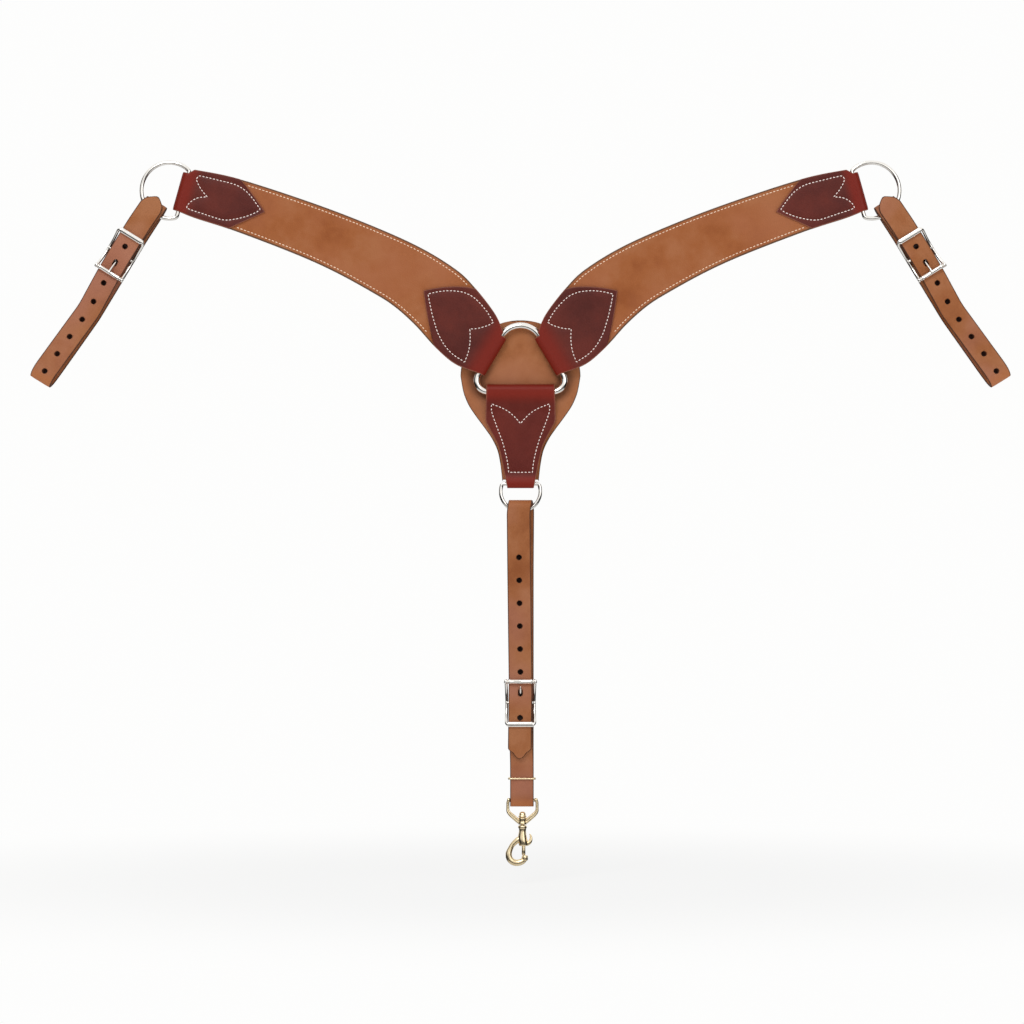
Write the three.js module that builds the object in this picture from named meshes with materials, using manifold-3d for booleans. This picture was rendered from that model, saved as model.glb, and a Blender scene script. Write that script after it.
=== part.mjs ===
// Western breast collar (breastplate) for a saddle horse, seen from the front of the horse.
// Two lined leather arms and a chest pad meet at a three-sided ring. A tab under the ring carries
// a small dee, an adjustable tie-down strap and a swivel snap. Each arm ends in a large dee with an
// adjustable tug, a strap loop that goes round the saddle's own dee.
// Millimetres. +X is to the viewer's right, +Y goes back towards the horse's chest, +Z is up.
// The parts are drawn round the middle of the centre ring, with its wire in the plane y = 0; the whole
// collar is then moved so that the origin lies on the back of the chest pad, behind the ring's middle.

import * as THREE from "three";
import { mergeVertices } from "three/addons/utils/BufferGeometryUtils.js";
import Module from "manifold-3d";

const wasm = await Module();
wasm.setup();

// ---------------------------------------------------------------- driving dimensions

const STRAP_THICKNESS = 3.2;
const STRAP_HALF_WIDTH = 12.7;
const HOLE_RADIUS = 2.5;
const LATIGO = 2.4;
const THREAD = 0.35;
const THREAD_LIFT = 0.05;

// The arm is two leathers back to back; the chapes wrap both and fold round the metal bars.
const ARM_HALF_THICKNESS = 3.55;
const ARM_MID_GAP = 0.05;
const CHAPE_INNER = 3.8;
const CHAPE_OUTER = CHAPE_INNER + LATIGO;
const ARM_SHORT_OF_BAR = 5.2;
const EDGE_SEAM_INSET = 4.2;

// Centre ring: an isosceles triangle of round wire with filleted corners.
const RING_WIRE = 3.5;
const RING_BASE_Z = -34.5;
const RING_BASE_HALF = 56.5;
const RING_APEX_Z = 60;
const RING_TOP_FILLET = 24.5;
const RING_BASE_FILLET = 12;
const RING_SIDE = new THREE.Vector2(RING_BASE_HALF, RING_APEX_Z - RING_BASE_Z).normalize();
const RING_SIDE_ANGLE = Math.atan2(RING_SIDE.x, RING_SIDE.y);

// Left arm outline, from the ring end to the dee end.
const ARM_UPPER_EDGE = [
  [-18.5, 29.1], [-27.5, 49.4], [-49.1, 77.4], [-70.7, 98], [-113.9, 123.9],
  [-178.7, 152], [-243.5, 175.7], [-308.3, 196.2], [-351.5, 204.9],
];
const ARM_LOWER_EDGE = [
  [-44.8, -14.9], [-70.7, -4.6], [-92.3, 13.7], [-113.9, 37.5], [-135.5, 56.9], [-157.1, 71],
  [-200.3, 94.7], [-243.5, 114.2], [-308.3, 139], [-351.5, 153], [-369.7, 160.3],
];
const RING_FOLD_TOP = new THREE.Vector2(-20.3, 26);
const RING_FOLD_LENGTH = 47.4;
const RING_CHAPE_UPPER_X = -49.2;
const RING_CHAPE_LOWER_X = -94.5;
const DEE_CHAPE_UPPER_X = -300.5;
const DEE_CHAPE_LOWER_X = -313;

// Large dee at the end of the arm.
const DEE_WIRE = 2.3;
const DEE_RADIUS = 30.2;
const DEE_BAR = 15.1;
const DEE_FILLET = 4;
const DEE_CENTRE = new THREE.Vector2(-379.1, 182.8);
const DEE_TO_BAR = new THREE.Vector2(0.963, -0.2695).normalize();
const DEE_FOLD_BOTTOM = new THREE.Vector2(-369.7, 160.3);
const DEE_FOLD_LENGTH = 42.4;

// Tug: a strap loop hung on the dee, in its own frame with the dee's wire at the origin.
const TUG_HANG_ANGLE = THREE.MathUtils.degToRad(222.8);
const TUG_TILT = THREE.MathUtils.degToRad(31.7);
const TUG_LAYER = 5.6;
const TUG_BILLET = 9.1;
const TUG_FOLD_Z = 4.5;
const TUG_LOOP_RADIUS = 9;
const TUG_LOOP_Z = -209.4;
const TUG_TIP_Z = 16.5;
const TUG_BUCKLE_Z = -57.5;
const TUG_FIRST_HOLE_Z = -47.7;
const TUG_HOLE_PITCH = 22.8;
const TUG_HOLES = 8;
const TUG_TONGUE_HOLE = 1;
const TUG_FOLD_SEAM = [-44, -36];
// Half-width of the billet by distance from its tip, and the sideways sway of the whole strap.
const TUG_TIP = [[0, 1.2], [1.5, 3.6], [6.5, 10], [10, 11.6], [13.3, STRAP_HALF_WIDTH]];
const TUG_SWAY = [
  [0, 2.2], [12, 1.2], [35, 0.2], [50, 0], [99, 0], [144, 2.8], [212, -2], [226, -3], [254, -1], [334, 4],
  [434, 3], [459, 3.5], [489, 3.5], [519, 1], [531, 0], [604, 0],
];

// Roller buckle: heights are measured from its centre bar; the roller is at the low end.
const BUCKLE_WIRE = 1.6;
const BUCKLE_BAR_Y = -1.95;
const BUCKLE_HALF_HEIGHT = 23;
const BUCKLE_HALF_WIDTH = 15.7;
const BUCKLE_WAIST = 0.8;
const BUCKLE_KEEPER_Y = -13;
const BUCKLE_ROLLER_Y = -9.05;
const BUCKLE_FILLET = 3;
const BUCKLE_FOLD_RADIUS = 3.65;
const ROLLER_OUTER = 2.75;
const ROLLER_INNER = 1.85;
const ROLLER_HALF_LENGTH = 12.2;
const TONGUE_ANGLE = THREE.MathUtils.degToRad(27.1);
const TONGUE_TRAVEL = THREE.MathUtils.degToRad(12);
const TONGUE_RADIUS = 1.25;
const TONGUE_LENGTH = 27;
const TONGUE_EYE_INNER = 1.95;
const TONGUE_EYE_OUTER = 3.1;
const TONGUE_EYE_WIDTH = 3;
const TONGUE_CLEARANCE = 0.6;
const TONGUE_SLOT_WIDTH = 4.4;
const TONGUE_SLOT_DEPTH = 10.8;
const TONGUE_SLOT_HEIGHT = 14.4;
const TONGUE_SLOT_SHIFT = 1.8;
const TAIL_Y = -2.1;
const FOLD_SEAM_HALF_WIDTH = 8;

// Chest tab: a latigo loop round the ring's base bar and the lower dee's bar.
const TAB_MID = 1.35;
const TAB_RING_RADIUS = 5;
const TAB_FOLD_Z = RING_BASE_Z + 1.8;
const TAB_DEE_RADIUS = 3.6;
const TAB_WIDTHS = [
  [-26, 36.8], [-66, 37.8], [-74, 34], [-80, 30.6], [-91, 25], [-103, 21.7], [-120, 18], [-140, 13.9],
];

// Chest pad behind the ring.
const PAD_THICKNESS = 3.2;
const PAD_TOP_CENTRE_Z = -17.6;
const PAD_HALF_WIDTH = 64.8;
const PAD_TOP_HEIGHT = 60.5;
const PAD_BOTTOM_Z = -129.6;
const PAD_FRONT_UPPER = 6.7;
const PAD_FRONT_LOWER = 2.8;
const PAD_FRONT_TAIL = 5.2;
const PAD_WING_SLOPE = 0.2;

// Lower dee and tie-down strap.
const LOWER_DEE_WIRE = 2.1;
const LOWER_DEE_RADIUS = 21.4;
const LOWER_DEE_BAR = 8;
const LOWER_DEE_FILLET = 3;
const LOWER_DEE_Z = -142;
const TIE_TOP_Z = -158.7;
const TIE_BUCKLE_Z = -370.3;
const TIE_FIRST_HOLE_Z = -213.4;
const TIE_HOLE_PITCH = 24.7;
const TIE_HOLES = 8;
const TIE_TONGUE_HOLE = 6;
const TIE_EYE_RADIUS = 3.9;
const TIE_FOLD_Z = -477.2;
const TIE_TONGUE_LENGTH = 20;
const TIE_FOLD_SEAM = [-392, -384.5];
const TIE_TIP = [
  [0, 0.9], [1.2, 2.8], [3, 4.8], [6.8, 7.4], [8.6, 10.2], [11.3, 12.4], [12, STRAP_HALF_WIDTH],
];
const TIE_SWAY = [
  [0, -1], [61, -0.3], [84, 0], [200, -1.5], [268, -2.2], [292, 2], [360, 1.5], [662, 1.5], [700, 0.5],
  [729, 0], [800, 0],
];

// Wire keeper and swivel snap; the keeper and the snap hang a little to the right of the middle.
const SNAP_X = 2.1;
const KEEPER_X = 1.5;
const KEEPER_WIRE = 1.1;
const KEEPER_Z = -452.3;
const KEEPER_HALF_WIDTH = 14;
const KEEPER_HALF_DEPTH = 4.85;
const KEEPER_FILLET = 2;
const EYE_WIRE = 1.6;
const EYE_Z = -475.5;
const EYE_HALF_WIDTH = 15.8;
const EYE_FILLET = 3;
const COLLAR_Z = -498.3;
const COLLAR_RADIUS = 4.6;
const COLLAR_HALF_HEIGHT = 3.8;
const COLLAR_BORE = 2.4;
const RIVET_PROFILE = [
  [0, -506], [2.1, -506], [2.1, -494.2], [4.3, -494.2], [4.3, -492.4], [3.6, -491.8], [3.4, -489.8],
  [1.8, -488.4], [0, -488],
];
// Barrel and hook: x, z and the radius of the round section, from top to bottom.
const BARREL_SPINE = [
  [0, -503, 4], [0, -504.2, 4.7], [0.05, -505.6, 4.6], [0.25, -507, 3.6], [0.45, -510, 3.5],
  [0.7, -516, 3.9], [1, -521, 4.2], [1, -525, 4.2],
];
const HOOK_SPINE = [
  [-1.2, -510, 2.8], [-3.4, -515.5, 3.2], [-7.4, -519.8, 2.9], [-10.9, -523.9, 2.5], [-13.2, -528.3, 2.7],
  [-14.8, -533.3, 3.4], [-13.9, -538.8, 3.5], [-10.1, -542.5, 3.5], [-4.6, -543.3, 3.5], [0.4, -541.4, 3.2],
];
const HOOK_TIP_X = 2.6;
const HOOK_TIP_RADIUS = 3.1;
const HOOK_TIP_Z = [-541.6, -535.3];
const BOLT_X = 1.2;
const BORE_RADIUS = 2.25;
const BORE_TOP_Z = -506.5;
const BORE_BOTTOM_Z = -529;
const BOLT_RADIUS = 2;
const BOLT_TOP_Z = -516.5;
const BOLT_BOTTOM_Z = -535;
const THUMB_OUTLINE = [
  [2, -525.2], [5.2, -525.2], [8.4, -522.2], [10.4, -518.4], [10.6, -515.6], [9.2, -512.9], [7.4, -511.9],
  [7.8, -515.8], [6.6, -519.4], [5.4, -520.2], [2, -520.2],
];
const THUMB_HALF_THICKNESS = 1;
const THUMB_SLOT_GAP = 2.6;
const THUMB_SLOT_TOP_Z = -511;
const SPRING_RADIUS = 1.5;
const SPRING_WIRE = 0.25;
const SPRING_TURNS = 5;
const SPRING_GAP = 0.4;

// ---------------------------------------------------------------- materials

const finish = (color, roughness, metalness) =>
  new THREE.MeshStandardMaterial({ color, roughness, metalness });

const HARNESS = finish(0xac6c42, 0.6, 0);
const LINING = finish(0x8f5a38, 0.75, 0);
const OXBLOOD = finish(0x5c2a26, 0.45, 0);
const WAXED_THREAD = finish(0xf2ebdc, 0.8, 0);
const NICKEL = finish(0xd9d6cf, 0.18, 1);
const BRASS = finish(0xd9b566, 0.25, 1);
const SPRING_STEEL = finish(0x8d8f92, 0.35, 1);

// ---------------------------------------------------------------- solids

const Y_AXIS = new THREE.Vector3(0, 1, 0);
const X_AXIS = new THREE.Vector3(1, 0, 0);
const Z_AXIS = new THREE.Vector3(0, 0, 1);

function toSolid(geometry) {
  const bare = new THREE.BufferGeometry().setAttribute("position", geometry.attributes.position);
  bare.setIndex(geometry.index);
  const merged = mergeVertices(bare, 1e-4);
  return new wasm.Manifold(new wasm.Mesh({
    numProp: 3,
    vertProperties: new Float32Array(merged.attributes.position.array),
    triVerts: new Uint32Array(merged.index.array),
  }));
}

function fromSolid(solid) {
  const mesh = solid.getMesh();
  const geometry = new THREE.BufferGeometry();
  const corners = new Float32Array(mesh.vertProperties);
  geometry.setAttribute("position", new THREE.BufferAttribute(corners, 3));
  geometry.setIndex(new THREE.BufferAttribute(new Uint32Array(mesh.triVerts), 1));
  geometry.computeVertexNormals();
  return geometry;
}

function joined(...geometries) {
  const solids = geometries.map(toSolid);
  return fromSolid(solids.slice(1).reduce((whole, piece) => whole.add(piece), solids[0]));
}

function cut(geometry, ...cutters) {
  const whole = toSolid(geometry);
  return fromSolid(cutters.reduce((left, cutter) => left.subtract(toSolid(cutter)), whole));
}

function named(name, geometry, material) {
  const mesh = new THREE.Mesh(geometry, material);
  mesh.name = name;
  return mesh;
}

// Turns a point pair list into Vector2s.
const pairs = (list) => list.map(([a, b]) => new THREE.Vector2(a, b));

// Straight interpolation in a list of [position, value] rows sorted by position.
function lookUp(rows, position) {
  const after = rows.findIndex(([at]) => (rows[1][0] > rows[0][0] ? at >= position : at <= position));
  if (after <= 0) return rows[after === 0 ? 0 : rows.length - 1][1];
  const [p0, v0] = rows[after - 1];
  const [p1, v1] = rows[after];
  return v0 + ((v1 - v0) * (position - p0)) / (p1 - p0);
}

// Splits every stretch of a point row that is longer than `longest`.
function refined(points, longest) {
  return points.flatMap((point, i) => {
    if (i === 0) return [point];
    const parts = Math.max(1, Math.ceil(point.distanceTo(points[i - 1]) / longest));
    return Array.from({ length: parts }, (_, k) => points[i - 1].clone().lerp(point, (k + 1) / parts));
  });
}

// Unit direction of a point row at point k, the mean of the stretches before and after it.
function direction(points, k, isClosed) {
  const count = points.length;
  const before = isClosed ? points[(k + count - 1) % count] : points[Math.max(k - 1, 0)];
  const after = isClosed ? points[(k + 1) % count] : points[Math.min(k + 1, count - 1)];
  const arriving = points[k].clone().sub(before).normalize();
  const leaving = after.clone().sub(points[k]).normalize();
  return arriving.add(leaving).normalize();
}

// Moves each vertex of a unit shape onto a row of 3-D points: `u` across, `v` square to both.
function sweepOnto(geometry, points, isClosed, reference, stationOf, offsetOf) {
  const position = geometry.attributes.position;
  for (let i = 0; i < position.count; i += 1) {
    const k = stationOf(i);
    const along = direction(points, k, isClosed);
    const across = reference.clone().addScaledVector(along, -reference.dot(along)).normalize();
    const square = across.clone().cross(along);
    const [u, v] = offsetOf(i);
    const moved = points[k].clone().addScaledVector(across, u).addScaledVector(square, v);
    position.setXYZ(i, moved.x, moved.y, moved.z);
  }
  return geometry;
}

// Round wire along a closed row of points.
function closedWire(points, radius, sides = 8, reference = Y_AXIS) {
  const wire = new THREE.TorusGeometry(2, 1, sides, points.length);
  const uv = wire.attributes.uv;
  return sweepOnto(
    wire, points, true, reference,
    (i) => Math.round(uv.getX(i) * points.length) % points.length,
    (i) => {
      const turn = (Math.round(uv.getY(i) * sides) % sides) * ((2 * Math.PI) / sides);
      return [radius * Math.cos(turn), radius * Math.sin(turn)];
    },
  );
}

// Round rod with flat ends along an open row of points; radiusAt takes 0 to 1 along it.
function rod(points, radiusAt, sides = 8, reference = Y_AXIS) {
  const last = points.length - 1;
  const shape = new THREE.CylinderGeometry(1, 1, 1, sides, last);
  const source = shape.attributes.position.clone();
  const stationOf = (i) => Math.round((source.getY(i) + 0.5) * last);
  return sweepOnto(shape, points, false, reference, stationOf, (i) => {
    const radius = radiusAt(stationOf(i) / last);
    return [source.getX(i) * radius, source.getZ(i) * radius];
  });
}

const inPlane = (points, y) => points.map((p) => new THREE.Vector3(p.x, y, p.y));

// Flat sheet whose outline lies in the XZ plane, from depth yFront to yBack.
function plate(outline, yFront, yBack) {
  const depth = yBack - yFront;
  const sheet = new THREE.ExtrudeGeometry(new THREE.Shape(outline), { depth, bevelEnabled: false });
  return sheet.rotateX(Math.PI / 2).translate(0, yBack, 0);
}

// Cylinder of the given radius between two points.
function cylinderBetween(from, to, radius, sides = 12) {
  return rod([from, to], () => radius, sides, Math.abs(to.y - from.y) > 1e-3 ? X_AXIS : Y_AXIS);
}

// Solid of revolution round the vertical axis; the profile holds [radius, height] pairs, bottom first.
function turned(profile, sides = 16) {
  return new THREE.LatheGeometry(pairs(profile), sides).rotateX(Math.PI / 2);
}

// ---------------------------------------------------------------- folded straps

// Stations of a strap: side-view points (x = depth, y = height) with their distance from the tip.
function stationsOf(path, divisions, longest) {
  const points = refined(path.getPoints(divisions), longest);
  let travelled = 0;
  return points.map((point, k) => {
    travelled += k ? point.distanceTo(points[k - 1]) : 0;
    return { point, travelled };
  });
}

// Leather strap bent along its side view: half-width and sideways sway depend on the distance travelled.
function strap(stations, thickness, halfWidthAt, swayAt) {
  const last = stations.length - 1;
  const points = stations.map(({ point }) => point);
  const box = new THREE.BoxGeometry(1, 1, 1, 1, 1, last);
  const position = box.attributes.position;
  for (let i = 0; i < position.count; i += 1) {
    const k = Math.round((position.getZ(i) + 0.5) * last);
    const along = direction(points, k, false);
    const out = position.getY(i) * thickness;
    const x = position.getX(i) * 2 * halfWidthAt(stations[k]) + swayAt(stations[k]);
    position.setXYZ(i, x, points[k].x + along.y * out, points[k].y - along.x * out);
  }
  return box;
}

// Punched hole through the first layer of a strap that passes the given height.
function punch(stations, height, swayAt) {
  const k = stations.findIndex(({ point }, i) => i > 0
    && (point.y - height) * (stations[i - 1].point.y - height) <= 0);
  const points = stations.map(({ point }) => point);
  const before = stations[k - 1];
  const part = (height - before.point.y) / (points[k].y - before.point.y);
  const middle = before.point.clone().lerp(points[k], part);
  const along = points[k].clone().sub(before.point).normalize();
  const x = swayAt({ travelled: before.travelled + part * points[k].distanceTo(before.point) });
  const reach = (STRAP_THICKNESS + 0.3) / 2;
  const end = (out) => new THREE.Vector3(x, middle.x + along.y * out, middle.y - along.x * out);
  return cylinderBetween(end(-reach), end(reach), HOLE_RADIUS, 8);
}

// Slot in the fold for the tongue's eye, and the hole its tongue keeps clear in the billet.
// `sense` is 1 where the roller is below the bar and -1 where it is above.
function tongueCuts(barZ, sense) {
  const slot = new THREE.BoxGeometry(TONGUE_SLOT_WIDTH, TONGUE_SLOT_DEPTH, TONGUE_SLOT_HEIGHT);
  slot.translate(0, BUCKLE_BAR_Y, barZ + sense * TONGUE_SLOT_SHIFT);
  const holes = [0, 0.5, 1].map((share) => {
    const angle = TONGUE_ANGLE + share * TONGUE_TRAVEL;
    const at = (reach) => new THREE.Vector3(
      0, BUCKLE_BAR_Y - reach * Math.sin(angle), barZ - sense * reach * Math.cos(angle));
    return cylinderBetween(at(TONGUE_EYE_OUTER), at(TONGUE_LENGTH + 3), TONGUE_RADIUS + TONGUE_CLEARANCE);
  });
  return [slot, ...holes];
}

// ---------------------------------------------------------------- centre ring

function centreRing() {
  const side = RING_SIDE_ANGLE;
  const topZ = RING_APEX_Z - RING_TOP_FILLET / Math.sin(side);
  const baseX = RING_BASE_HALF - RING_BASE_FILLET / Math.tan((Math.PI / 2 - side) / 2);
  const baseZ = RING_BASE_Z + RING_BASE_FILLET;
  const outline = new THREE.Path();
  outline.absarc(baseX, baseZ, RING_BASE_FILLET, -Math.PI / 2, side, false);
  outline.absarc(0, topZ, RING_TOP_FILLET, side, Math.PI - side, false);
  outline.absarc(-baseX, baseZ, RING_BASE_FILLET, Math.PI - side, 1.5 * Math.PI, false);
  const points = outline.getPoints(6);
  return closedWire(inPlane(points, 0), RING_WIRE, 10);
}

// ---------------------------------------------------------------- chest pad and chest tab

function padHalfWidths() {
  const rows = [];
  for (let turn = 8; turn < 90; turn += 11.5) {
    const angle = THREE.MathUtils.degToRad(turn);
    rows.push([PAD_TOP_CENTRE_Z + PAD_TOP_HEIGHT * Math.cos(angle), PAD_HALF_WIDTH * Math.sin(angle)]);
  }
  const flank = new THREE.SplineCurve(pairs([
    [PAD_HALF_WIDTH, PAD_TOP_CENTRE_Z], [61.5, -36], [45.4, -63], [29.2, -88.9], [24.3, -101.8],
    [20, PAD_BOTTOM_Z],
  ]));
  flank.getPoints(14).forEach((point) => rows.push([point.y, point.x]));
  return rows;
}

// Depth of the pad's front face: it clears the folds at the ring, closes up behind the tab and
// curls back a little beyond the ring's side bars.
function padFront(x, z) {
  const [barX, barZ] = ARM_UPPER_EDGE[0];
  const beyondBar = RING_SIDE.y * (Math.abs(x) + barX) + RING_SIDE.x * (z - barZ);
  const upper = (PAD_FRONT_UPPER - PAD_FRONT_LOWER) * THREE.MathUtils.smoothstep(z, -66, -38);
  const tail = (PAD_FRONT_TAIL - PAD_FRONT_LOWER) * THREE.MathUtils.smoothstep(-z, 112, -PAD_BOTTOM_Z);
  return PAD_FRONT_LOWER + upper + tail + PAD_WING_SLOPE * Math.max(0, beyondBar);
}

function chestPad() {
  const rows = padHalfWidths();
  const last = rows.length - 1;
  const columns = 8;
  const box = new THREE.BoxGeometry(1, 1, 1, columns, 1, last);
  const position = box.attributes.position;
  for (let i = 0; i < position.count; i += 1) {
    const [z, halfWidth] = rows[Math.round((0.5 - position.getZ(i)) * last)];
    const x = position.getX(i) * 2 * halfWidth;
    const y = padFront(x, z) + (position.getY(i) + 0.5) * PAD_THICKNESS;
    position.setXYZ(i, x, y, z);
  }
  return box;
}

function tabPath() {
  const deeBarZ = LOWER_DEE_Z + LOWER_DEE_BAR;
  const path = new THREE.Path();
  path.moveTo(TAB_MID, -88);
  path.lineTo(TAB_MID, -58);
  path.bezierCurveTo(TAB_MID, -50, TAB_RING_RADIUS, -48, TAB_RING_RADIUS, TAB_FOLD_Z);
  path.absarc(0, TAB_FOLD_Z, TAB_RING_RADIUS, 0, Math.PI, false);
  path.bezierCurveTo(-TAB_RING_RADIUS, -48, -TAB_MID, -50, -TAB_MID, -58);
  path.lineTo(-TAB_MID, -122);
  path.bezierCurveTo(-TAB_MID, -128, -TAB_DEE_RADIUS, -128, -TAB_DEE_RADIUS, deeBarZ);
  path.absarc(0, deeBarZ, TAB_DEE_RADIUS, Math.PI, 2 * Math.PI, false);
  path.bezierCurveTo(TAB_DEE_RADIUS, -128, TAB_MID, -128, TAB_MID, -122);
  path.lineTo(TAB_MID, -91);
  return path;
}

const TAB_STATIONS = stationsOf(tabPath(), 5, 9);

function chestTab() {
  return strap(TAB_STATIONS, LATIGO, ({ point }) => lookUp(TAB_WIDTHS, point.y), () => 0);
}

// Depth of the tab's front face at a height, for the thread that lies on it.
function tabFace(z) {
  const front = TAB_STATIONS.filter(({ point }) => point.x < 0).map(({ point }) => [point.y, point.x]);
  return lookUp(front, z) - LATIGO / 2;
}

function chestTabSeam() {
  const outline = new THREE.Path();
  outline.moveTo(-30.2, -60.7);
  outline.lineTo(-32.3, -47.3);
  outline.quadraticCurveTo(-10, -50, 0, -69);
  outline.quadraticCurveTo(10, -50, 32.3, -47.3);
  outline.lineTo(30.2, -60.7);
  outline.splineThru(pairs([[23.5, -78.3], [17.4, -93.9], [14.2, -109.3], [12.7, -121.7]]));
  outline.lineTo(-12.7, -121.7);
  outline.splineThru(pairs([[-14.2, -109.3], [-17.4, -93.9], [-23.5, -78.3], [-30.2, -60.7]]));
  const points = outline.getPoints(4).slice(0, -1);
  const lift = THREAD + 2 * THREAD_LIFT;
  return closedWire(points.map((p) => new THREE.Vector3(p.x, tabFace(p.y) - lift, p.y)), THREAD, 4);
}

// ---------------------------------------------------------------- left arm

const UPPER_EDGE = new THREE.SplineCurve(pairs(ARM_UPPER_EDGE)).getPoints(34);
const LOWER_EDGE = new THREE.SplineCurve(pairs(ARM_LOWER_EDGE)).getPoints(40);
const RING_OUTWARD = new THREE.Vector2(-RING_SIDE.y, RING_SIDE.x);

// Part of a closed outline that lies at least `distance` beyond the line through `origin`.
function clipped(outline, origin, outward, distance) {
  const reach = (point) => point.clone().sub(origin).dot(outward) - distance;
  return outline.flatMap((point, i) => {
    const next = outline[(i + 1) % outline.length];
    const here = reach(point);
    const there = reach(next);
    const kept = here >= 0 ? [point] : [];
    if (here * there < 0) kept.push(point.clone().lerp(next, here / (here - there)));
    return kept;
  });
}

function armOutline() {
  const outline = [...UPPER_EDGE, ...[...LOWER_EDGE].reverse()];
  const ringEnd = clipped(outline, RING_FOLD_TOP, RING_OUTWARD, ARM_SHORT_OF_BAR);
  return clipped(ringEnd, DEE_FOLD_BOTTOM, DEE_TO_BAR, ARM_SHORT_OF_BAR);
}

// Half tube of latigo round a bar, from `start` along the bar, its open side towards `inward`.
function foldTube(start, inward, length) {
  const lip = 0.6;
  const profile = new THREE.Shape();
  profile.moveTo(lip, -CHAPE_INNER);
  profile.lineTo(lip, -CHAPE_OUTER);
  profile.lineTo(0, -CHAPE_OUTER);
  profile.absarc(0, 0, CHAPE_OUTER, -Math.PI / 2, Math.PI / 2, true);
  profile.lineTo(lip, CHAPE_OUTER);
  profile.lineTo(lip, CHAPE_INNER);
  profile.absarc(0, 0, CHAPE_INNER, Math.PI / 2, -Math.PI / 2, false);
  const options = { depth: length, bevelEnabled: false, curveSegments: 10 };
  const tube = new THREE.ExtrudeGeometry(profile, options);
  const into = new THREE.Vector3(inward.x, 0, inward.y);
  const basis = new THREE.Matrix4().makeBasis(into, Y_AXIS, into.clone().cross(Y_AXIS));
  return tube.applyMatrix4(basis).translate(start.x, 0, start.y);
}

// Folded chape: the same outline in front and behind, joined by the fold.
function chape(outline, fold) {
  return joined(
    plate(outline, -CHAPE_OUTER, -CHAPE_INNER),
    plate(outline, CHAPE_INNER, CHAPE_OUTER),
    fold,
  );
}

const within = (edge, from, to) => edge.filter((point) => point.x <= from && point.x >= to);

function ringChape() {
  const point = new THREE.Path();
  point.moveTo(RING_CHAPE_UPPER_X, 77);
  point.quadraticCurveTo(-77, 81, -104.9, 74.3);
  point.quadraticCurveTo(-101.6, 47, RING_CHAPE_LOWER_X, 19.1);
  const outline = [
    ...within(UPPER_EDGE, 0, RING_CHAPE_UPPER_X + 1),
    ...point.getPoints(6),
    ...within(LOWER_EDGE, 0, RING_CHAPE_LOWER_X + 1).reverse(),
  ];
  return chape(outline, foldTube(RING_FOLD_TOP, RING_OUTWARD, RING_FOLD_LENGTH));
}

function deeChape() {
  const point = new THREE.Path();
  point.moveTo(DEE_CHAPE_LOWER_X, 141);
  point.lineTo(-297.5, 149.7);
  point.lineTo(-274.4, 159.4);
  point.lineTo(-284, 172.9);
  point.lineTo(-293.7, 186.4);
  point.lineTo(DEE_CHAPE_UPPER_X, 194);
  const alongBar = new THREE.Vector2(-DEE_TO_BAR.y, DEE_TO_BAR.x);
  const barTop = DEE_FOLD_BOTTOM.clone().addScaledVector(alongBar, DEE_FOLD_LENGTH);
  const outline = [
    ...within(LOWER_EDGE, DEE_CHAPE_LOWER_X - 1, -400).reverse(),
    ...point.getPoints(1),
    ...within(UPPER_EDGE, DEE_CHAPE_UPPER_X - 1, -400),
    barTop,
  ];
  return chape(outline, foldTube(DEE_FOLD_BOTTOM, DEE_TO_BAR, DEE_FOLD_LENGTH));
}

function ringChapeSeam() {
  const seam = new THREE.Path();
  seam.moveTo(-99.7, 70.1);
  seam.quadraticCurveTo(-77, 77.3, -54.9, 70.1);
  seam.lineTo(-44.2, 60.3);
  seam.lineTo(-35.2, 50.3);
  seam.lineTo(-28.9, 40);
  seam.quadraticCurveTo(-42, 33, -55.8, 32.4);
  seam.quadraticCurveTo(-50.5, 10, -61.2, -2.5);
  seam.lineTo(-71.1, 4.6);
  seam.lineTo(-81.8, 14.6);
  seam.lineTo(-91.6, 30.7);
  seam.lineTo(-96.1, 48.6);
  return seam.getPoints(5);
}

function deeChapeSeam() {
  return pairs([
    [-348.6, 197.5], [-336.1, 196.4], [-316.8, 191.8], [-301.4, 186.4], [-289.8, 176.7],
    [-281.5, 165.5], [-281.5, 161.9], [-297.5, 153.6], [-316.8, 150.3], [-332.3, 153.2],
    [-349.6, 159.4], [-360.2, 163.2], [-357.3, 168], [-349.6, 173.2], [-338.1, 174.8],
    [-344.8, 185.4], [-349.6, 195],
  ]);
}

const threadLoop = (points, face) => closedWire(inPlane(points, -face - THREAD - THREAD_LIFT), THREAD, 4);

// Edge seam: a thread a constant distance inside the arm's edge, between the two chapes.
function edgeSeam(edge, side, from, to) {
  const inset = edge.map((point, k) => {
    const along = direction(edge, k, false);
    return point.clone().add(new THREE.Vector2(-along.y, along.x).multiplyScalar(side * EDGE_SEAM_INSET));
  });
  const line = inPlane(within(inset, from, to), -ARM_HALF_THICKNESS - THREAD - THREAD_LIFT);
  return rod(line, () => THREAD, 4);
}

function deeWire(centre, toBar, radius, bar, fillet, wire) {
  const filletZ = Math.sqrt((radius - fillet) ** 2 - (bar - fillet) ** 2);
  const corner = Math.atan2(filletZ, bar - fillet);
  const outline = new THREE.Path();
  outline.absarc(bar - fillet, filletZ, fillet, 0, corner, false);
  outline.absarc(0, 0, radius, corner, 2 * Math.PI - corner, false);
  outline.absarc(bar - fillet, -filletZ, fillet, -corner, 0, false);
  const alongBar = new THREE.Vector2(-toBar.y, toBar.x);
  const points = outline.getPoints(7).filter((p, i, all) => i === 0 || p.distanceTo(all[i - 1]) > 1e-6);
  const place = (p) => centre.clone().addScaledVector(toBar, p.x).addScaledVector(alongBar, p.y);
  const placed = points.map(place);
  return closedWire(inPlane(placed, 0), wire, 8);
}

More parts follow.
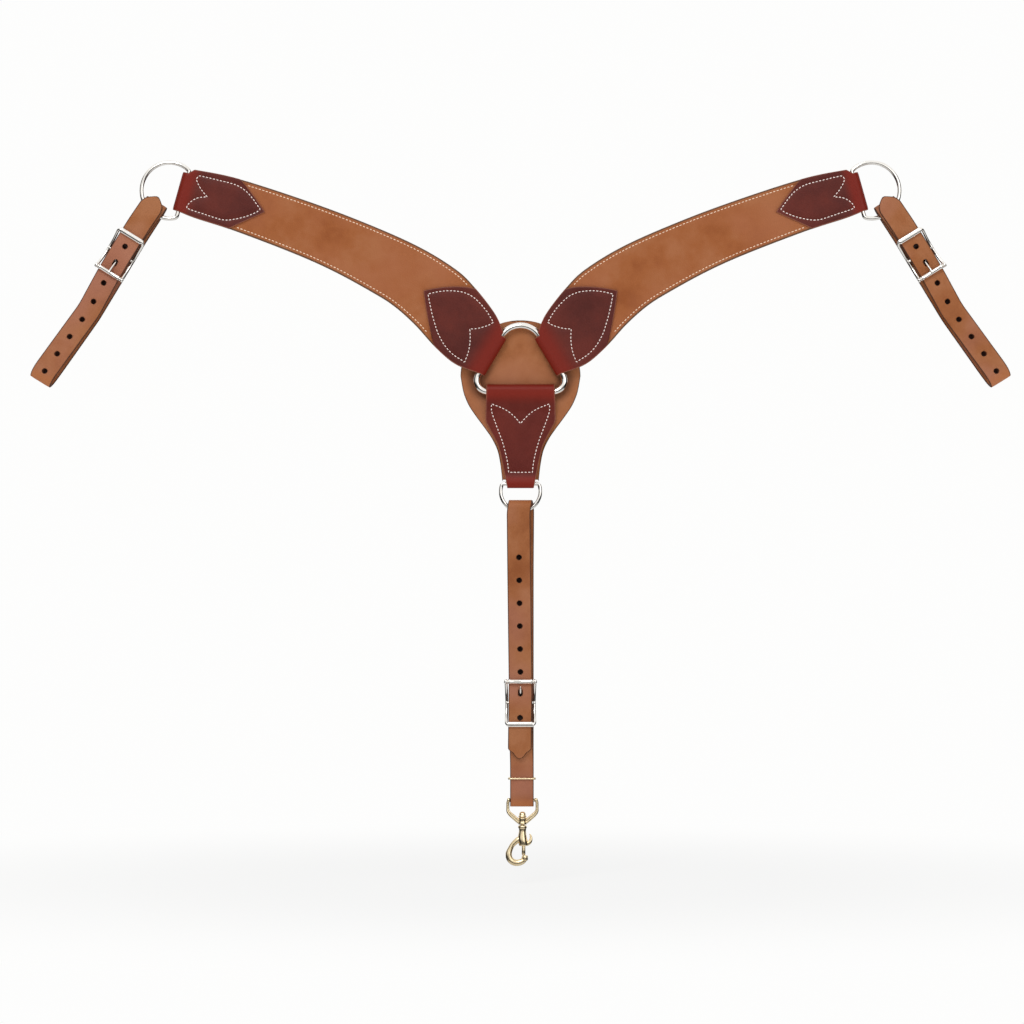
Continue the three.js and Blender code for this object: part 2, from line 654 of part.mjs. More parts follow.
// ---------------------------------------------------------------- buckle

function buckleFrame() {
  const x = BUCKLE_HALF_WIDTH - BUCKLE_FILLET;
  const z = BUCKLE_HALF_HEIGHT - BUCKLE_FILLET;
  const outline = new THREE.Path();
  outline.absarc(x, z, BUCKLE_FILLET, 0, Math.PI / 2, false);
  outline.absarc(-x, z, BUCKLE_FILLET, Math.PI / 2, Math.PI, false);
  outline.absarc(-x, -z, BUCKLE_FILLET, Math.PI, 1.5 * Math.PI, false);
  outline.absarc(x, -z, BUCKLE_FILLET, 1.5 * Math.PI, 2 * Math.PI, false);
  outline.lineTo(x + BUCKLE_FILLET, z);
  const flat = refined(outline.getPoints(3), 7).slice(0, -1);
  const points = flat.map((p) => {
    const share = (p.y / BUCKLE_HALF_HEIGHT) ** 2;
    const end = p.y > 0 ? BUCKLE_KEEPER_Y : BUCKLE_ROLLER_Y;
    const width = 1 - (BUCKLE_WAIST / BUCKLE_HALF_WIDTH) * (1 - share);
    return new THREE.Vector3(p.x * width, BUCKLE_BAR_Y + (end - BUCKLE_BAR_Y) * share, p.y);
  });
  const barEnd = BUCKLE_HALF_WIDTH - BUCKLE_WAIST;
  const end = (x) => new THREE.Vector3(x, BUCKLE_BAR_Y, 0);
  const bar = cylinderBetween(end(-barEnd), end(barEnd), BUCKLE_WIRE, 10);
  return joined(closedWire(points, BUCKLE_WIRE, 6), bar);
}

// Ring of rectangular section round the X axis.
function sleeve(inner, outer, halfLength, sides) {
  const profile = [
    [inner, -halfLength], [outer, -halfLength], [outer, halfLength], [inner, halfLength],
    [inner, -halfLength],
  ];
  return new THREE.LatheGeometry(pairs(profile), sides).rotateZ(-Math.PI / 2);
}

function buckleTongue(length) {
  const eye = sleeve(TONGUE_EYE_INNER, TONGUE_EYE_OUTER, TONGUE_EYE_WIDTH / 2, 16);
  const drop = new THREE.Vector3(0, -Math.sin(TONGUE_ANGLE), -Math.cos(TONGUE_ANGLE));
  const reaches = [TONGUE_EYE_OUTER - 0.6, length / 2, length - 1.5, length - 0.4, length];
  const points = reaches.map((reach) => drop.clone().multiplyScalar(reach));
  const taper = [1, 1, 1, 0.75, 0.35];
  const shank = rod(points, (t) => TONGUE_RADIUS * taper[Math.round(t * 4)], 10, X_AXIS);
  return joined(eye, shank).translate(0, BUCKLE_BAR_Y, 0);
}

function buckleRoller() {
  return sleeve(ROLLER_INNER, ROLLER_OUTER, ROLLER_HALF_LENGTH, 16)
    .translate(0, BUCKLE_ROLLER_Y, -BUCKLE_HALF_HEIGHT);
}

function buckle(prefix, tongueLength) {
  const group = new THREE.Group();
  group.add(named(`${prefix}_frame`, buckleFrame(), NICKEL));
  group.add(named(`${prefix}_tongue`, buckleTongue(tongueLength), NICKEL));
  group.add(named(`${prefix}_roller`, buckleRoller(), NICKEL));
  return group;
}

// Thread that closes a strap's fold: a small rectangle on the back of the tail.
function foldSeam(fromZ, toZ) {
  const half = FOLD_SEAM_HALF_WIDTH;
  const corners = pairs([[-half, fromZ], [half, fromZ], [half, toZ], [-half, toZ]]);
  return closedWire(inPlane(corners, TAIL_Y + STRAP_THICKNESS / 2 + THREAD + THREAD_LIFT), THREAD, 4);
}

// ---------------------------------------------------------------- tug

function tugPath() {
  const path = new THREE.Path();
  path.moveTo(-TUG_BILLET, TUG_TIP_Z);
  path.lineTo(-TUG_BILLET, TUG_BUCKLE_Z - 0.5);
  path.bezierCurveTo(-TUG_BILLET, -66, -4.4, -72, -4.4, -80.5);
  path.splineThru(pairs([[-8, -130], [-TUG_LOOP_RADIUS - 3.4, TUG_LOOP_Z + 6]]));
  path.absarc(-3.4, TUG_LOOP_Z, TUG_LOOP_RADIUS, Math.PI, 2 * Math.PI, false);
  path.absarc(0, TUG_FOLD_Z, TUG_LAYER, 0, Math.PI, false);
  path.absarc(BUCKLE_BAR_Y, TUG_BUCKLE_Z, BUCKLE_FOLD_RADIUS, Math.PI, 2 * Math.PI, false);
  path.bezierCurveTo(BUCKLE_BAR_Y + BUCKLE_FOLD_RADIUS, -52, TAIL_Y, -50, TAIL_Y, -45);
  path.lineTo(TAIL_Y, -34);
  return path;
}

function tugStrap() {
  const stations = stationsOf(tugPath(), 4, 22);
  const swayAt = ({ travelled }) => lookUp(TUG_SWAY, travelled);
  const bent = strap(stations, STRAP_THICKNESS, ({ travelled }) => lookUp(TUG_TIP, travelled), swayAt);
  const holes = Array.from({ length: TUG_HOLES }, (_, k) => k)
    .filter((k) => k !== TUG_TONGUE_HOLE)
    .map((k) => punch(stations, TUG_FIRST_HOLE_Z - k * TUG_HOLE_PITCH, swayAt));
  return cut(bent, ...tongueCuts(TUG_BUCKLE_Z, 1), ...holes);
}

function tug(side) {
  const group = new THREE.Group();
  group.add(named(`${side}_tug_strap`, tugStrap(), HARNESS));
  group.add(named(`${side}_tug_fold_seam`, foldSeam(...TUG_FOLD_SEAM), WAXED_THREAD));
  const fitted = buckle(`${side}_buckle`, TONGUE_LENGTH);
  fitted.position.z = TUG_BUCKLE_Z;
  group.add(fitted);
  group.position.set(
    DEE_CENTRE.x + DEE_RADIUS * Math.cos(TUG_HANG_ANGLE), 0,
    DEE_CENTRE.y + DEE_RADIUS * Math.sin(TUG_HANG_ANGLE));
  group.rotation.y = TUG_TILT;
  return group;
}

// ---------------------------------------------------------------- tie-down strap

function tiePath() {
  const rollerZ = TIE_BUCKLE_Z + BUCKLE_HALF_HEIGHT;
  const path = new THREE.Path();
  path.moveTo(-6.6, -430.8);
  path.quadraticCurveTo(-TUG_BILLET, -420, -TUG_BILLET, -408);
  path.lineTo(-TUG_BILLET, TIE_BUCKLE_Z + 0.5);
  path.bezierCurveTo(-TUG_BILLET, -361.8, -4.4, -355.8, -4.4, rollerZ);
  path.splineThru(pairs([[-7, -260], [-TUG_LAYER, TIE_TOP_Z - 6]]));
  path.absarc(0, TIE_TOP_Z, TUG_LAYER, Math.PI, 0, true);
  path.lineTo(TUG_LAYER, -412);
  path.bezierCurveTo(TUG_LAYER, -425, 1.75, -425, 1.75, -436);
  path.lineTo(1.75, -463);
  path.bezierCurveTo(1.75, -469, TIE_EYE_RADIUS, -469, TIE_EYE_RADIUS, EYE_Z);
  path.absarc(0, TIE_FOLD_Z, TIE_EYE_RADIUS, 0, -Math.PI, true);
  path.lineTo(-TIE_EYE_RADIUS, EYE_Z);
  path.bezierCurveTo(-TIE_EYE_RADIUS, -469, -1.75, -469, -1.75, -463);
  path.lineTo(-1.75, -436);
  path.bezierCurveTo(-1.75, -425, -TUG_LAYER, -425, -TUG_LAYER, -412);
  path.lineTo(-TUG_LAYER, TIE_BUCKLE_Z);
  path.absarc(BUCKLE_BAR_Y, TIE_BUCKLE_Z, BUCKLE_FOLD_RADIUS, Math.PI, 0, true);
  path.bezierCurveTo(BUCKLE_BAR_Y + BUCKLE_FOLD_RADIUS, -376, TAIL_Y, -378, TAIL_Y, -383);
  path.lineTo(TAIL_Y, -394);
  return path;
}

function tieStrap() {
  const stations = stationsOf(tiePath(), 4, 26);
  const swayAt = ({ travelled }) => lookUp(TIE_SWAY, travelled);
  const bent = strap(stations, STRAP_THICKNESS, ({ travelled }) => lookUp(TIE_TIP, travelled), swayAt);
  const holes = Array.from({ length: TIE_HOLES }, (_, k) => k)
    .filter((k) => k !== TIE_TONGUE_HOLE)
    .map((k) => punch(stations, TIE_FIRST_HOLE_Z - k * TIE_HOLE_PITCH, swayAt));
  return cut(bent, ...tongueCuts(TIE_BUCKLE_Z, -1), ...holes);
}

function strapKeeper() {
  const x = KEEPER_HALF_WIDTH - KEEPER_FILLET;
  const y = KEEPER_HALF_DEPTH - KEEPER_FILLET;
  const outline = new THREE.Path();
  outline.absarc(x, y, KEEPER_FILLET, 0, Math.PI / 2, false);
  outline.absarc(-x, y, KEEPER_FILLET, Math.PI / 2, Math.PI, false);
  outline.absarc(-x, -y, KEEPER_FILLET, Math.PI, 1.5 * Math.PI, false);
  outline.absarc(x, -y, KEEPER_FILLET, 1.5 * Math.PI, 2 * Math.PI, false);
  const points = outline.getPoints(2).map((p) => new THREE.Vector3(p.x, p.y, KEEPER_Z));
  return closedWire(points, KEEPER_WIRE, 8, Z_AXIS).translate(KEEPER_X, 0, 0);
}

// ---------------------------------------------------------------- swivel snap, round its swivel's axis

// Solid of round sections from rows of x, z and radius.
function limb(rows, divisions, sides) {
  const spine = new THREE.CatmullRomCurve3(rows.map((row) => new THREE.Vector3(...row)));
  const points = spine.getPoints(divisions);
  return rod(inPlane(points, 0), (t) => points[Math.round(t * divisions)].z, sides);
}

function snapEye() {
  const x = EYE_HALF_WIDTH - EYE_FILLET;
  const outline = new THREE.Path();
  outline.absarc(-x, EYE_Z - EYE_FILLET, EYE_FILLET, Math.PI, Math.PI / 2, true);
  outline.absarc(x, EYE_Z - EYE_FILLET, EYE_FILLET, Math.PI / 2, 0, true);
  outline.lineTo(EYE_HALF_WIDTH, -485.5);
  outline.bezierCurveTo(EYE_HALF_WIDTH, -488.5, 13.5, -490.5, 11.5, -492.3);
  outline.lineTo(4, COLLAR_Z);
  outline.lineTo(-4, COLLAR_Z);
  outline.lineTo(-11.5, -492.3);
  outline.bezierCurveTo(-13.5, -490.5, -EYE_HALF_WIDTH, -488.5, -EYE_HALF_WIDTH, -485.5);
  const frame = closedWire(inPlane(outline.getPoints(5), 0), EYE_WIRE, 8);
  const height = COLLAR_HALF_HEIGHT;
  const collar = turned([[0, -height], [COLLAR_RADIUS, -height], [COLLAR_RADIUS, height], [0, height]]);
  const through = height + 1;
  const bore = turned([[0, -through], [COLLAR_BORE, -through], [COLLAR_BORE, through], [0, through]]);
  return cut(joined(frame, collar.translate(0, 0, COLLAR_Z)), bore.translate(0, 0, COLLAR_Z));
}

function snapHook() {
  const [restLow, restHigh] = HOOK_TIP_Z;
  const rest = turned([
    [0, restLow], [HOOK_TIP_RADIUS, restLow], [HOOK_TIP_RADIUS, restHigh], [0, restHigh],
  ]).translate(HOOK_TIP_X, 0, 0);
  const bore = turned([
    [0, BORE_BOTTOM_Z], [BORE_RADIUS, BORE_BOTTOM_Z], [BORE_RADIUS, BORE_TOP_Z], [0, BORE_TOP_Z],
  ]).translate(BOLT_X, 0, 0);
  const slotHeight = THUMB_SLOT_TOP_Z - BORE_BOTTOM_Z;
  const slotDepth = 2 * BARREL_SPINE[0][2];
  const slot = new THREE.BoxGeometry(slotDepth, THUMB_SLOT_GAP, slotHeight);
  slot.translate(BOLT_X + slotDepth / 2, 0, BORE_BOTTOM_Z + slotHeight / 2);
  const solid = joined(turned(RIVET_PROFILE), limb(BARREL_SPINE, 14, 16), limb(HOOK_SPINE, 18, 10), rest);
  return cut(solid, bore, slot);
}

function snapBolt() {
  const pin = turned([
    [0, BOLT_BOTTOM_Z], [BOLT_RADIUS, BOLT_BOTTOM_Z], [BOLT_RADIUS, BOLT_TOP_Z], [0, BOLT_TOP_Z],
  ]).translate(BOLT_X, 0, 0);
  return joined(pin, plate(pairs(THUMB_OUTLINE), -THUMB_HALF_THICKNESS, THUMB_HALF_THICKNESS));
}

function snapSpring() {
  const bottom = BOLT_TOP_Z + SPRING_GAP;
  const height = BORE_TOP_Z - SPRING_GAP - bottom;
  const steps = SPRING_TURNS * 8;
  const coil = Array.from({ length: steps + 1 }, (_, k) => {
    const turn = (k / 8) * 2 * Math.PI;
    const x = BOLT_X + SPRING_RADIUS * Math.cos(turn);
    return new THREE.Vector3(x, SPRING_RADIUS * Math.sin(turn), bottom + (height * k) / steps);
  });
  return rod(coil, () => SPRING_WIRE, 4, Z_AXIS);
}

function snap() {
  const group = new THREE.Group();
  group.add(named("snap_eye", snapEye(), BRASS));
  group.add(named("snap_hook", snapHook(), BRASS));
  group.add(named("snap_bolt", snapBolt(), BRASS));
  group.add(named("snap_spring", snapSpring(), SPRING_STEEL));
  group.position.x = SNAP_X;
  return group;
}

// ---------------------------------------------------------------- assembly

// One side of the collar, drawn as the left side.
function side(name) {
  const group = new THREE.Group();
  const outline = armOutline();
  group.add(named(`${name}_arm_front`, plate(outline, -ARM_HALF_THICKNESS, -ARM_MID_GAP), HARNESS));
  group.add(named(`${name}_arm_lining`, plate(outline, ARM_MID_GAP, ARM_HALF_THICKNESS), LINING));
  group.add(named(`${name}_arm_upper_seam`, edgeSeam(UPPER_EDGE, 1, -57, -296), WAXED_THREAD));
  group.add(named(`${name}_arm_lower_seam`, edgeSeam(LOWER_EDGE, -1, -101, -308), WAXED_THREAD));
  group.add(named(`${name}_ring_chape`, ringChape(), OXBLOOD));
  group.add(named(`${name}_ring_chape_seam`, threadLoop(ringChapeSeam(), CHAPE_OUTER), WAXED_THREAD));
  group.add(named(`${name}_dee_chape`, deeChape(), OXBLOOD));
  group.add(named(`${name}_dee_chape_seam`, threadLoop(deeChapeSeam(), CHAPE_OUTER), WAXED_THREAD));
  const dee = deeWire(DEE_CENTRE, DEE_TO_BAR, DEE_RADIUS, DEE_BAR, DEE_FILLET, DEE_WIRE);
  group.add(named(`${name}_dee`, dee, NICKEL));
  group.add(tug(name));
  return group;
}

function middle() {
  const group = new THREE.Group();
  group.add(named("centre_ring", centreRing(), NICKEL));
  group.add(named("chest_pad", chestPad(), HARNESS));
  group.add(named("chest_tab", chestTab(), OXBLOOD));
  group.add(named("chest_tab_seam", chestTabSeam(), WAXED_THREAD));
  const dee = deeWire(
    new THREE.Vector2(0, LOWER_DEE_Z), new THREE.Vector2(0, 1), LOWER_DEE_RADIUS, LOWER_DEE_BAR,
    LOWER_DEE_FILLET, LOWER_DEE_WIRE);
  group.add(named("lower_dee", dee, NICKEL));
  return group;
}

function tieDown() {
  const group = new THREE.Group();
  group.add(named("tie_down_strap", tieStrap(), HARNESS));
  group.add(named("tie_down_fold_seam", foldSeam(...TIE_FOLD_SEAM), WAXED_THREAD));
  const fitted = buckle("tie_down_buckle", TIE_TONGUE_LENGTH);
  fitted.position.z = TIE_BUCKLE_Z;
  fitted.rotation.y = Math.PI;
  group.add(fitted);
  group.add(named("strap_keeper", strapKeeper(), BRASS));
  group.add(snap());
  return group;
}

const collar = new THREE.Group();
collar.add(middle());
collar.add(side("left"));
const rightSide = side("right");
rightSide.scale.x = -1;
collar.add(rightSide);
collar.add(tieDown());
collar.position.y = -(PAD_FRONT_UPPER + PAD_THICKNESS);

const breastCollar = new THREE.Group();
breastCollar.add(collar);

export default breastCollar;
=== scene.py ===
import math

import bmesh
import bpy
import numpy as np
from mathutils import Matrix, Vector


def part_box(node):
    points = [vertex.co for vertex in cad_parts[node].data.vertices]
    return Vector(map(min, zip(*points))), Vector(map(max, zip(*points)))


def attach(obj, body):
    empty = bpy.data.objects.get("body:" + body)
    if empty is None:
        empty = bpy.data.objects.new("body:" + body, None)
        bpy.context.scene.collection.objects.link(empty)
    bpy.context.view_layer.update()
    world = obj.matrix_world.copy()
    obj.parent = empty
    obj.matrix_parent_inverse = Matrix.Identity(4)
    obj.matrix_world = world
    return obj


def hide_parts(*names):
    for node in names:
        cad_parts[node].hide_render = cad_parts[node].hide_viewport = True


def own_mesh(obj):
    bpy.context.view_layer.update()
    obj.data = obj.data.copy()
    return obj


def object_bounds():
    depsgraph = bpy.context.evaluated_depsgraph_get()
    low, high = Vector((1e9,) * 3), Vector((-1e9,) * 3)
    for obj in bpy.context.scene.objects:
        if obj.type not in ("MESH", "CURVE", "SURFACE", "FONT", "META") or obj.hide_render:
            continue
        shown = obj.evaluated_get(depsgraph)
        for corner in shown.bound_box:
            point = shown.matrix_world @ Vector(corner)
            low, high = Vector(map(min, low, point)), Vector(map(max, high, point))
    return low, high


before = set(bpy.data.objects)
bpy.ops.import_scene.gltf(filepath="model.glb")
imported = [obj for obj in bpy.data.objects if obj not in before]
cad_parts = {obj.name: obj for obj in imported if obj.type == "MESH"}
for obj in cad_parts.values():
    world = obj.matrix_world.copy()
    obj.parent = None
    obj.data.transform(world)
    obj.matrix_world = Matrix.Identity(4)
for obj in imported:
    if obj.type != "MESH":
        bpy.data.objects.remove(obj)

# Western breast collar. Every leather, thread and metal piece is drawn in millimetres, with the centre
# ring's wire in the plane y = 0 and the height z = 0 inside the ring, and moved into the frame as it is
# made. The left side (-x) is drawn once, and again mirrored for the right side.

FIRST_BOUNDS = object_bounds()
MM = 0.001
RING_LOW, RING_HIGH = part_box("centre_ring")
WIRE_Y = (RING_LOW.y + RING_HIGH.y) / 2
RNG = np.random.default_rng(11)

# ---- dimensions

STRAP_HALF = 1.6
STRAP_WIDTH = 12.7
STRAP_COLUMNS = (1.33, 2.67, 4.0, 5.4, 7.0, 8.6, 10.1, 11.3, STRAP_WIDTH)
HOLE_RADIUS = 2.5
HOLE_BLOCK = 4.0
HOLE_DENT = 0.3
HOLE_SHADE = 1.9
BEHIND_TRAVEL = 20
SLOT_HALF_WIDTH = 2.2
TONGUE_SLOT_HALF_WIDTH = 2.0
TONGUE_SLOT_PLAY = (0.2, 0.8)
BAR_TO_SLOT = 9.0
LATIGO_HALF = 1.2
ARM_HALF, ARM_LAYER_HALF, ARM_LAYER_Y = 3.55, 1.75, 1.8
CHAPE_MIDDLE = 5.0
CHAPE_PUFF = 0.25
EDGE_SEAM_INSET = 4.2
ARM_SEAM_SINK = 0.28

# Depths along a buckled strap: its tail behind the bar, its billet over the bar and passing the roller,
# its loop round a dee, and its fold round the buckle's bar.
TAIL_Y, BILLET_Y, PASS_Y = -2.1, -9.1, -4.4
HANG_RADIUS, BAR_FOLD = 5.6, 3.65

RING_WIRE = 3.5
RING_BASE_Z = -34.5
TAB_FOLD_Z = RING_BASE_Z + 1.8
RING_BASE_HALF = 56.5
RING_APEX_Z = 60.0
RING_TOP_FILLET = 24.5
RING_BASE_FILLET = 12.0
RING_SIDE_ANGLE = math.atan2(RING_BASE_HALF, RING_APEX_Z - RING_BASE_Z)
RING_OUTWARD = np.array([-math.cos(RING_SIDE_ANGLE), math.sin(RING_SIDE_ANGLE)])
RING_ALONG = np.array([-math.sin(RING_SIDE_ANGLE), -math.cos(RING_SIDE_ANGLE)])
RING_FOLD_TOP = np.array([-20.3, 26.0])
RING_FOLD_LENGTH = 47.4

ARM_UPPER = [
    (-18.5, 29.1), (-27.5, 49.4), (-49.1, 77.4), (-70.7, 98), (-113.9, 123.9),
    (-178.7, 152), (-243.5, 175.7), (-308.3, 196.2), (-351.5, 204.9),
]
ARM_LOWER = [
    (-44.8, -14.9), (-70.7, -4.6), (-92.3, 13.7), (-113.9, 37.5), (-135.5, 56.9), (-157.1, 71),
    (-200.3, 94.7), (-243.5, 114.2), (-308.3, 139), (-351.5, 153), (-369.7, 160.3),
]
ARM_SHORT_OF_BAR = 5.2

DEE_CENTRE = np.array([-379.1, 182.8])
DEE_TO_BAR = np.array([0.963, -0.2695]) / np.linalg.norm([0.963, -0.2695])
DEE_ALONG = np.array([-DEE_TO_BAR[1], DEE_TO_BAR[0]])
DEE_RADIUS, DEE_BAR, DEE_FILLET, DEE_WIRE = 30.2, 15.1, 4.0, 2.3
DEE_FOLD_BOTTOM = np.array([-369.7, 160.3])
DEE_FOLD_LENGTH = 42.4

LOWER_DEE_Z, LOWER_DEE_WIRE = -142.0, 2.1
LOWER_DEE_RADIUS, LOWER_DEE_BAR, LOWER_DEE_FILLET = 21.4, 8.0, 3.0

TUG_HANG = math.radians(222.8)
TUG_TILT = math.radians(31.7)
TUG_BUCKLE_Z = -57.5
TIE_BUCKLE_Z = -370.3
TIE_TOP_Z = -158.7
EYE_Z = -475.5
TIE_FOLD_Z = -477.2
KEEPER_X, KEEPER_Z = 1.5, -452.3
SNAP_X = 2.1
BOLT_X = 1.2
SPRING_LOW, SPRING_HIGH = -516.1, -506.9

BAR_Y = -1.95
BAR_BACK_Y = BAR_Y + BAR_FOLD
BUCKLE_WIRE = 1.6
BUCKLE_HALF_HEIGHT = 23.0
BUCKLE_HALF_WIDTH = 15.7
BUCKLE_WAIST = 0.8
BUCKLE_KEEPER_Y = -13.0
BUCKLE_ROLLER_Y = -9.05
BUCKLE_FILLET = 3.0
TONGUE_ANGLE = math.radians(27.1)
TONGUE_TRAVEL = math.radians(12)

# ---- curves


def unit(vectors):
    return vectors / np.maximum(np.linalg.norm(vectors, axis=-1, keepdims=True), 1e-12)


def smooth(value, low, high):
    share = np.clip((value - low) / (high - low), 0, 1)
    return share * share * (3 - 2 * share)


def spline(points, steps=16):
    """Catmull-Rom curve through the points."""
    points = np.asarray(points, float)
    padded = np.vstack([points[:1], points, points[-1:]])
    t = np.linspace(0, 1, steps, endpoint=False)[:, None]
    runs = [
        0.5 * (2 * b + (c - a) * t + (2 * a - 5 * b + 4 * c - d) * t**2 + (3 * b - a - 3 * c + d) * t**3)
        for a, b, c, d in zip(padded, padded[1:], padded[2:], padded[3:])
    ]
    return np.vstack([*runs, points[-1:]])


def bezier(*control, steps=16):
    t = np.linspace(0, 1, steps + 1)[:, None]
    degree = len(control) - 1
    return sum(
        math.comb(degree, k) * t**k * (1 - t) ** (degree - k) * np.asarray(point, float)
        for k, point in enumerate(control)
    )


def arc(centre, radius, start, end, steps=24):
    """Arc in degrees, counter-clockwise from the first axis."""
    angle = np.radians(np.linspace(start, end, steps + 1))
    return np.stack([centre[0] + radius * np.cos(angle), centre[1] + radius * np.sin(angle)], -1)


def chain(*runs):
    points = np.vstack([np.atleast_2d(np.asarray(run, float)) for run in runs])
    apart = np.linalg.norm(np.diff(points, axis=0), axis=1) > 1e-6
    return points[np.concatenate([[True], apart])]


def distances(points):
    return np.concatenate([[0], np.cumsum(np.linalg.norm(np.diff(points, axis=0), axis=1))])


def resampled(points, shares):
    """Points at the given shares (0 to 1) of the curve's length."""
    travelled = distances(points)
    at = np.asarray(shares) * travelled[-1]
    return np.stack([np.interp(at, travelled, column) for column in np.asarray(points).T], -1)


def evenly(points, step):
    count = max(2, math.ceil(distances(points)[-1] / step))
    return resampled(points, np.linspace(0, 1, count + 1))


def spaced(length, first, step):
    """Shares of a length: a `first` wide cell at each end and even cells of about `step` between."""
    count = max(1, round((length - 2 * first) / step))
    inner = np.linspace(first, length - first, count + 1)
    return np.concatenate([[0], inner, [length]]) / length


def from_line(points, line):
    """Distance of each 2-D point from a row of points."""
    start, end = line[:-1], line[1:]
    run = end - start
    offset = points[:, None, :] - start[None]
    share = np.clip((offset * run).sum(-1) / np.maximum((run * run).sum(-1), 1e-12), 0, 1)
    return np.linalg.norm(offset - share[..., None] * run, axis=-1).min(axis=1)


# ---- bodies


class Body:
    """Points and faces of one closed body; rim tints the leather with burnish and painted hole shade, and the
    painted-light values paint highlights and shade onto it.
    """

    def __init__(self, points, faces, rim=None, painted_light=None):
        self.points = np.asarray(points, float)
        self.faces = faces
        self.rim = np.zeros(len(self.points)) if rim is None else rim
        self.painted_light = np.zeros(len(self.points)) if painted_light is None else painted_light

    def moved(self, place):
        return Body(place(self.points), self.faces, self.rim, self.painted_light)


def numbered(rows, columns):
    return np.arange(rows * columns).reshape(rows, columns)


def grid_faces(index):
    cells = [index[:-1, :-1], index[1:, :-1], index[1:, 1:], index[:-1, 1:]]
    return np.stack(cells, -1).reshape(-1, 4)


def border(index):
    """The outer loop of a grid of point numbers."""
    return np.concatenate([index[0, :-1], index[:-1, -1], index[-1, :0:-1], index[:0:-1, 0]])


def inset(middle, normals, loop, towards):
    """Direction from each point of an edge loop into the leather, longer at corners."""
    here = middle[loop]
    after = unit(np.cross(normals[loop], np.roll(here, -1, 0) - here))
    before = unit(np.cross(normals[loop], here - np.roll(here, 1, 0)))
    mean = unit(after + before)
    direction = mean / np.clip((mean * after).sum(1, keepdims=True), 0.62, 1)
    return direction * np.sign(((towards[loop] - here) * direction).sum())


# Rim values: 0 is plain leather, 1 is fully burnished and above 1 goes towards the painted shade inside and
# behind a hole.
RIM_FACE, RIM_BEVEL, RIM_WALL, RIM_HOLE_SHADE = 0.4, 0.75, 1.0, 2.0
BEVEL_STEPS = 3


def leather_body(middle, normals, quads, loops, half, bevel, relief, painted_light=None, band=0.0, shade=0.0):
    """Closed leather over a middle surface, with rounded edges. `relief` raises the grain side.

    `band` darkens both faces near the edges, and `shade` the grain behind a hole.
    """
    count = len(middle)
    centres = middle[quads].mean(1)
    total, shared = np.zeros_like(middle), np.zeros(count)
    for corner in quads.T:
        np.add.at(total, corner, centres)
        np.add.at(shared, corner, 1)
    towards = total / np.maximum(shared, 1)[:, None]
    inward = np.zeros_like(middle)
    for loop in loops:
        inward[loop] = inset(middle, normals, loop, towards)
    seated = middle + inward * bevel
    points = [seated + normals * (half + relief)[:, None], seated - normals * half]
    faces = [quads, quads[:, ::-1] + count]
    edge = np.zeros(count) + band
    edge[loops[0]] = np.maximum(edge[loops[0]], RIM_FACE)
    rims = [np.maximum(edge, shade * (facing * normals[:, 1] < -0.5)) for facing in (1, -1)]
    # Painted light: highlights on folds and shade round the ring, the same on both faces.
    painted_lights = [np.zeros(count) if painted_light is None else painted_light] * 2
    quarter = np.linspace(0, math.pi / 2, BEVEL_STEPS + 1)[1:]
    profile = [(bevel * (1 - math.sin(a)), half - bevel * (1 - math.cos(a))) for a in quarter]
    profile += [(shift, -height) for shift, height in reversed(profile)]
    offset = 2 * count
    for loop in loops:
        # Hole walls get painted shade.
        wall = RIM_WALL if loop is loops[0] else RIM_HOLE_SHADE
        size = len(loop)
        previous = loop
        for shift, height in profile:
            tall = height + relief[loop] * (max(height, 0) / half)
            points.append(middle[loop] + inward[loop] * shift + normals[loop] * tall[:, None])
            rims.append(np.full(size, wall if abs(height) < half - 0.3 * bevel else RIM_BEVEL))
            painted_lights.append(painted_lights[0][loop])
            ring = offset + np.arange(size)
            faces.append(np.stack([previous, np.roll(previous, -1), np.roll(ring, -1), ring], -1))
            previous = ring
            offset += size
        last = loop + count
        faces.append(np.stack([previous, np.roll(previous, -1), np.roll(last, -1), last], -1))
    return Body(np.vstack(points), faces, np.concatenate(rims), np.concatenate(painted_lights))


def sheet(middle, normals, *options, **tints):
    """Leather body over a grid of middle points."""
    index = numbered(*middle.shape[:2])
    return leather_body(
        middle.reshape(-1, 3), normals.reshape(-1, 3), grid_faces(index), [border(index)], *options, **tints)


def lofted(rings, closed=False):
    """Solid through rings of points; an open row of rings is capped at both ends."""
    index = numbered(*rings.shape[:2])
    rows = np.vstack([index, index[:1]]) if closed else index
    side = np.roll(rows, -1, 1)
    faces = [np.stack([rows[:-1], side[:-1], side[1:], rows[1:]], -1).reshape(-1, 4)]
    caps = [] if closed else [index[:1], index[-1:, ::-1]]
    return Body(rings.reshape(-1, 3), faces + caps)


def sweep(points, radius, closed=False, sides=20, reference=(0, 1, 0), flat=1.0):
    """Round metal along a row of 3-D points; `flat` scales it along the reference."""
    points = np.asarray(points, float)
    count = len(points)
    if closed:
        arriving = unit(points - np.roll(points, 1, 0))
        leaving = unit(np.roll(points, -1, 0) - points)
    else:
        run = unit(np.diff(points, axis=0))
        arriving = np.vstack([run[:1], run])
        leaving = np.vstack([run, run[-1:]])
    along = unit(arriving + leaving)
    reference = np.asarray(reference, float)
    across = unit(reference - (along @ reference)[:, None] * along)
    square = np.cross(across, along)
    radius = np.broadcast_to(radius, count).astype(float)[:, None, None]
    flat = np.broadcast_to(flat, count).astype(float)[:, None, None]
    turn = np.linspace(0, 2 * math.pi, sides, endpoint=False)[None, :, None]
    around = flat * across[:, None] * np.cos(turn) + square[:, None] * np.sin(turn)
    return lofted(points[:, None] + radius * around, closed)


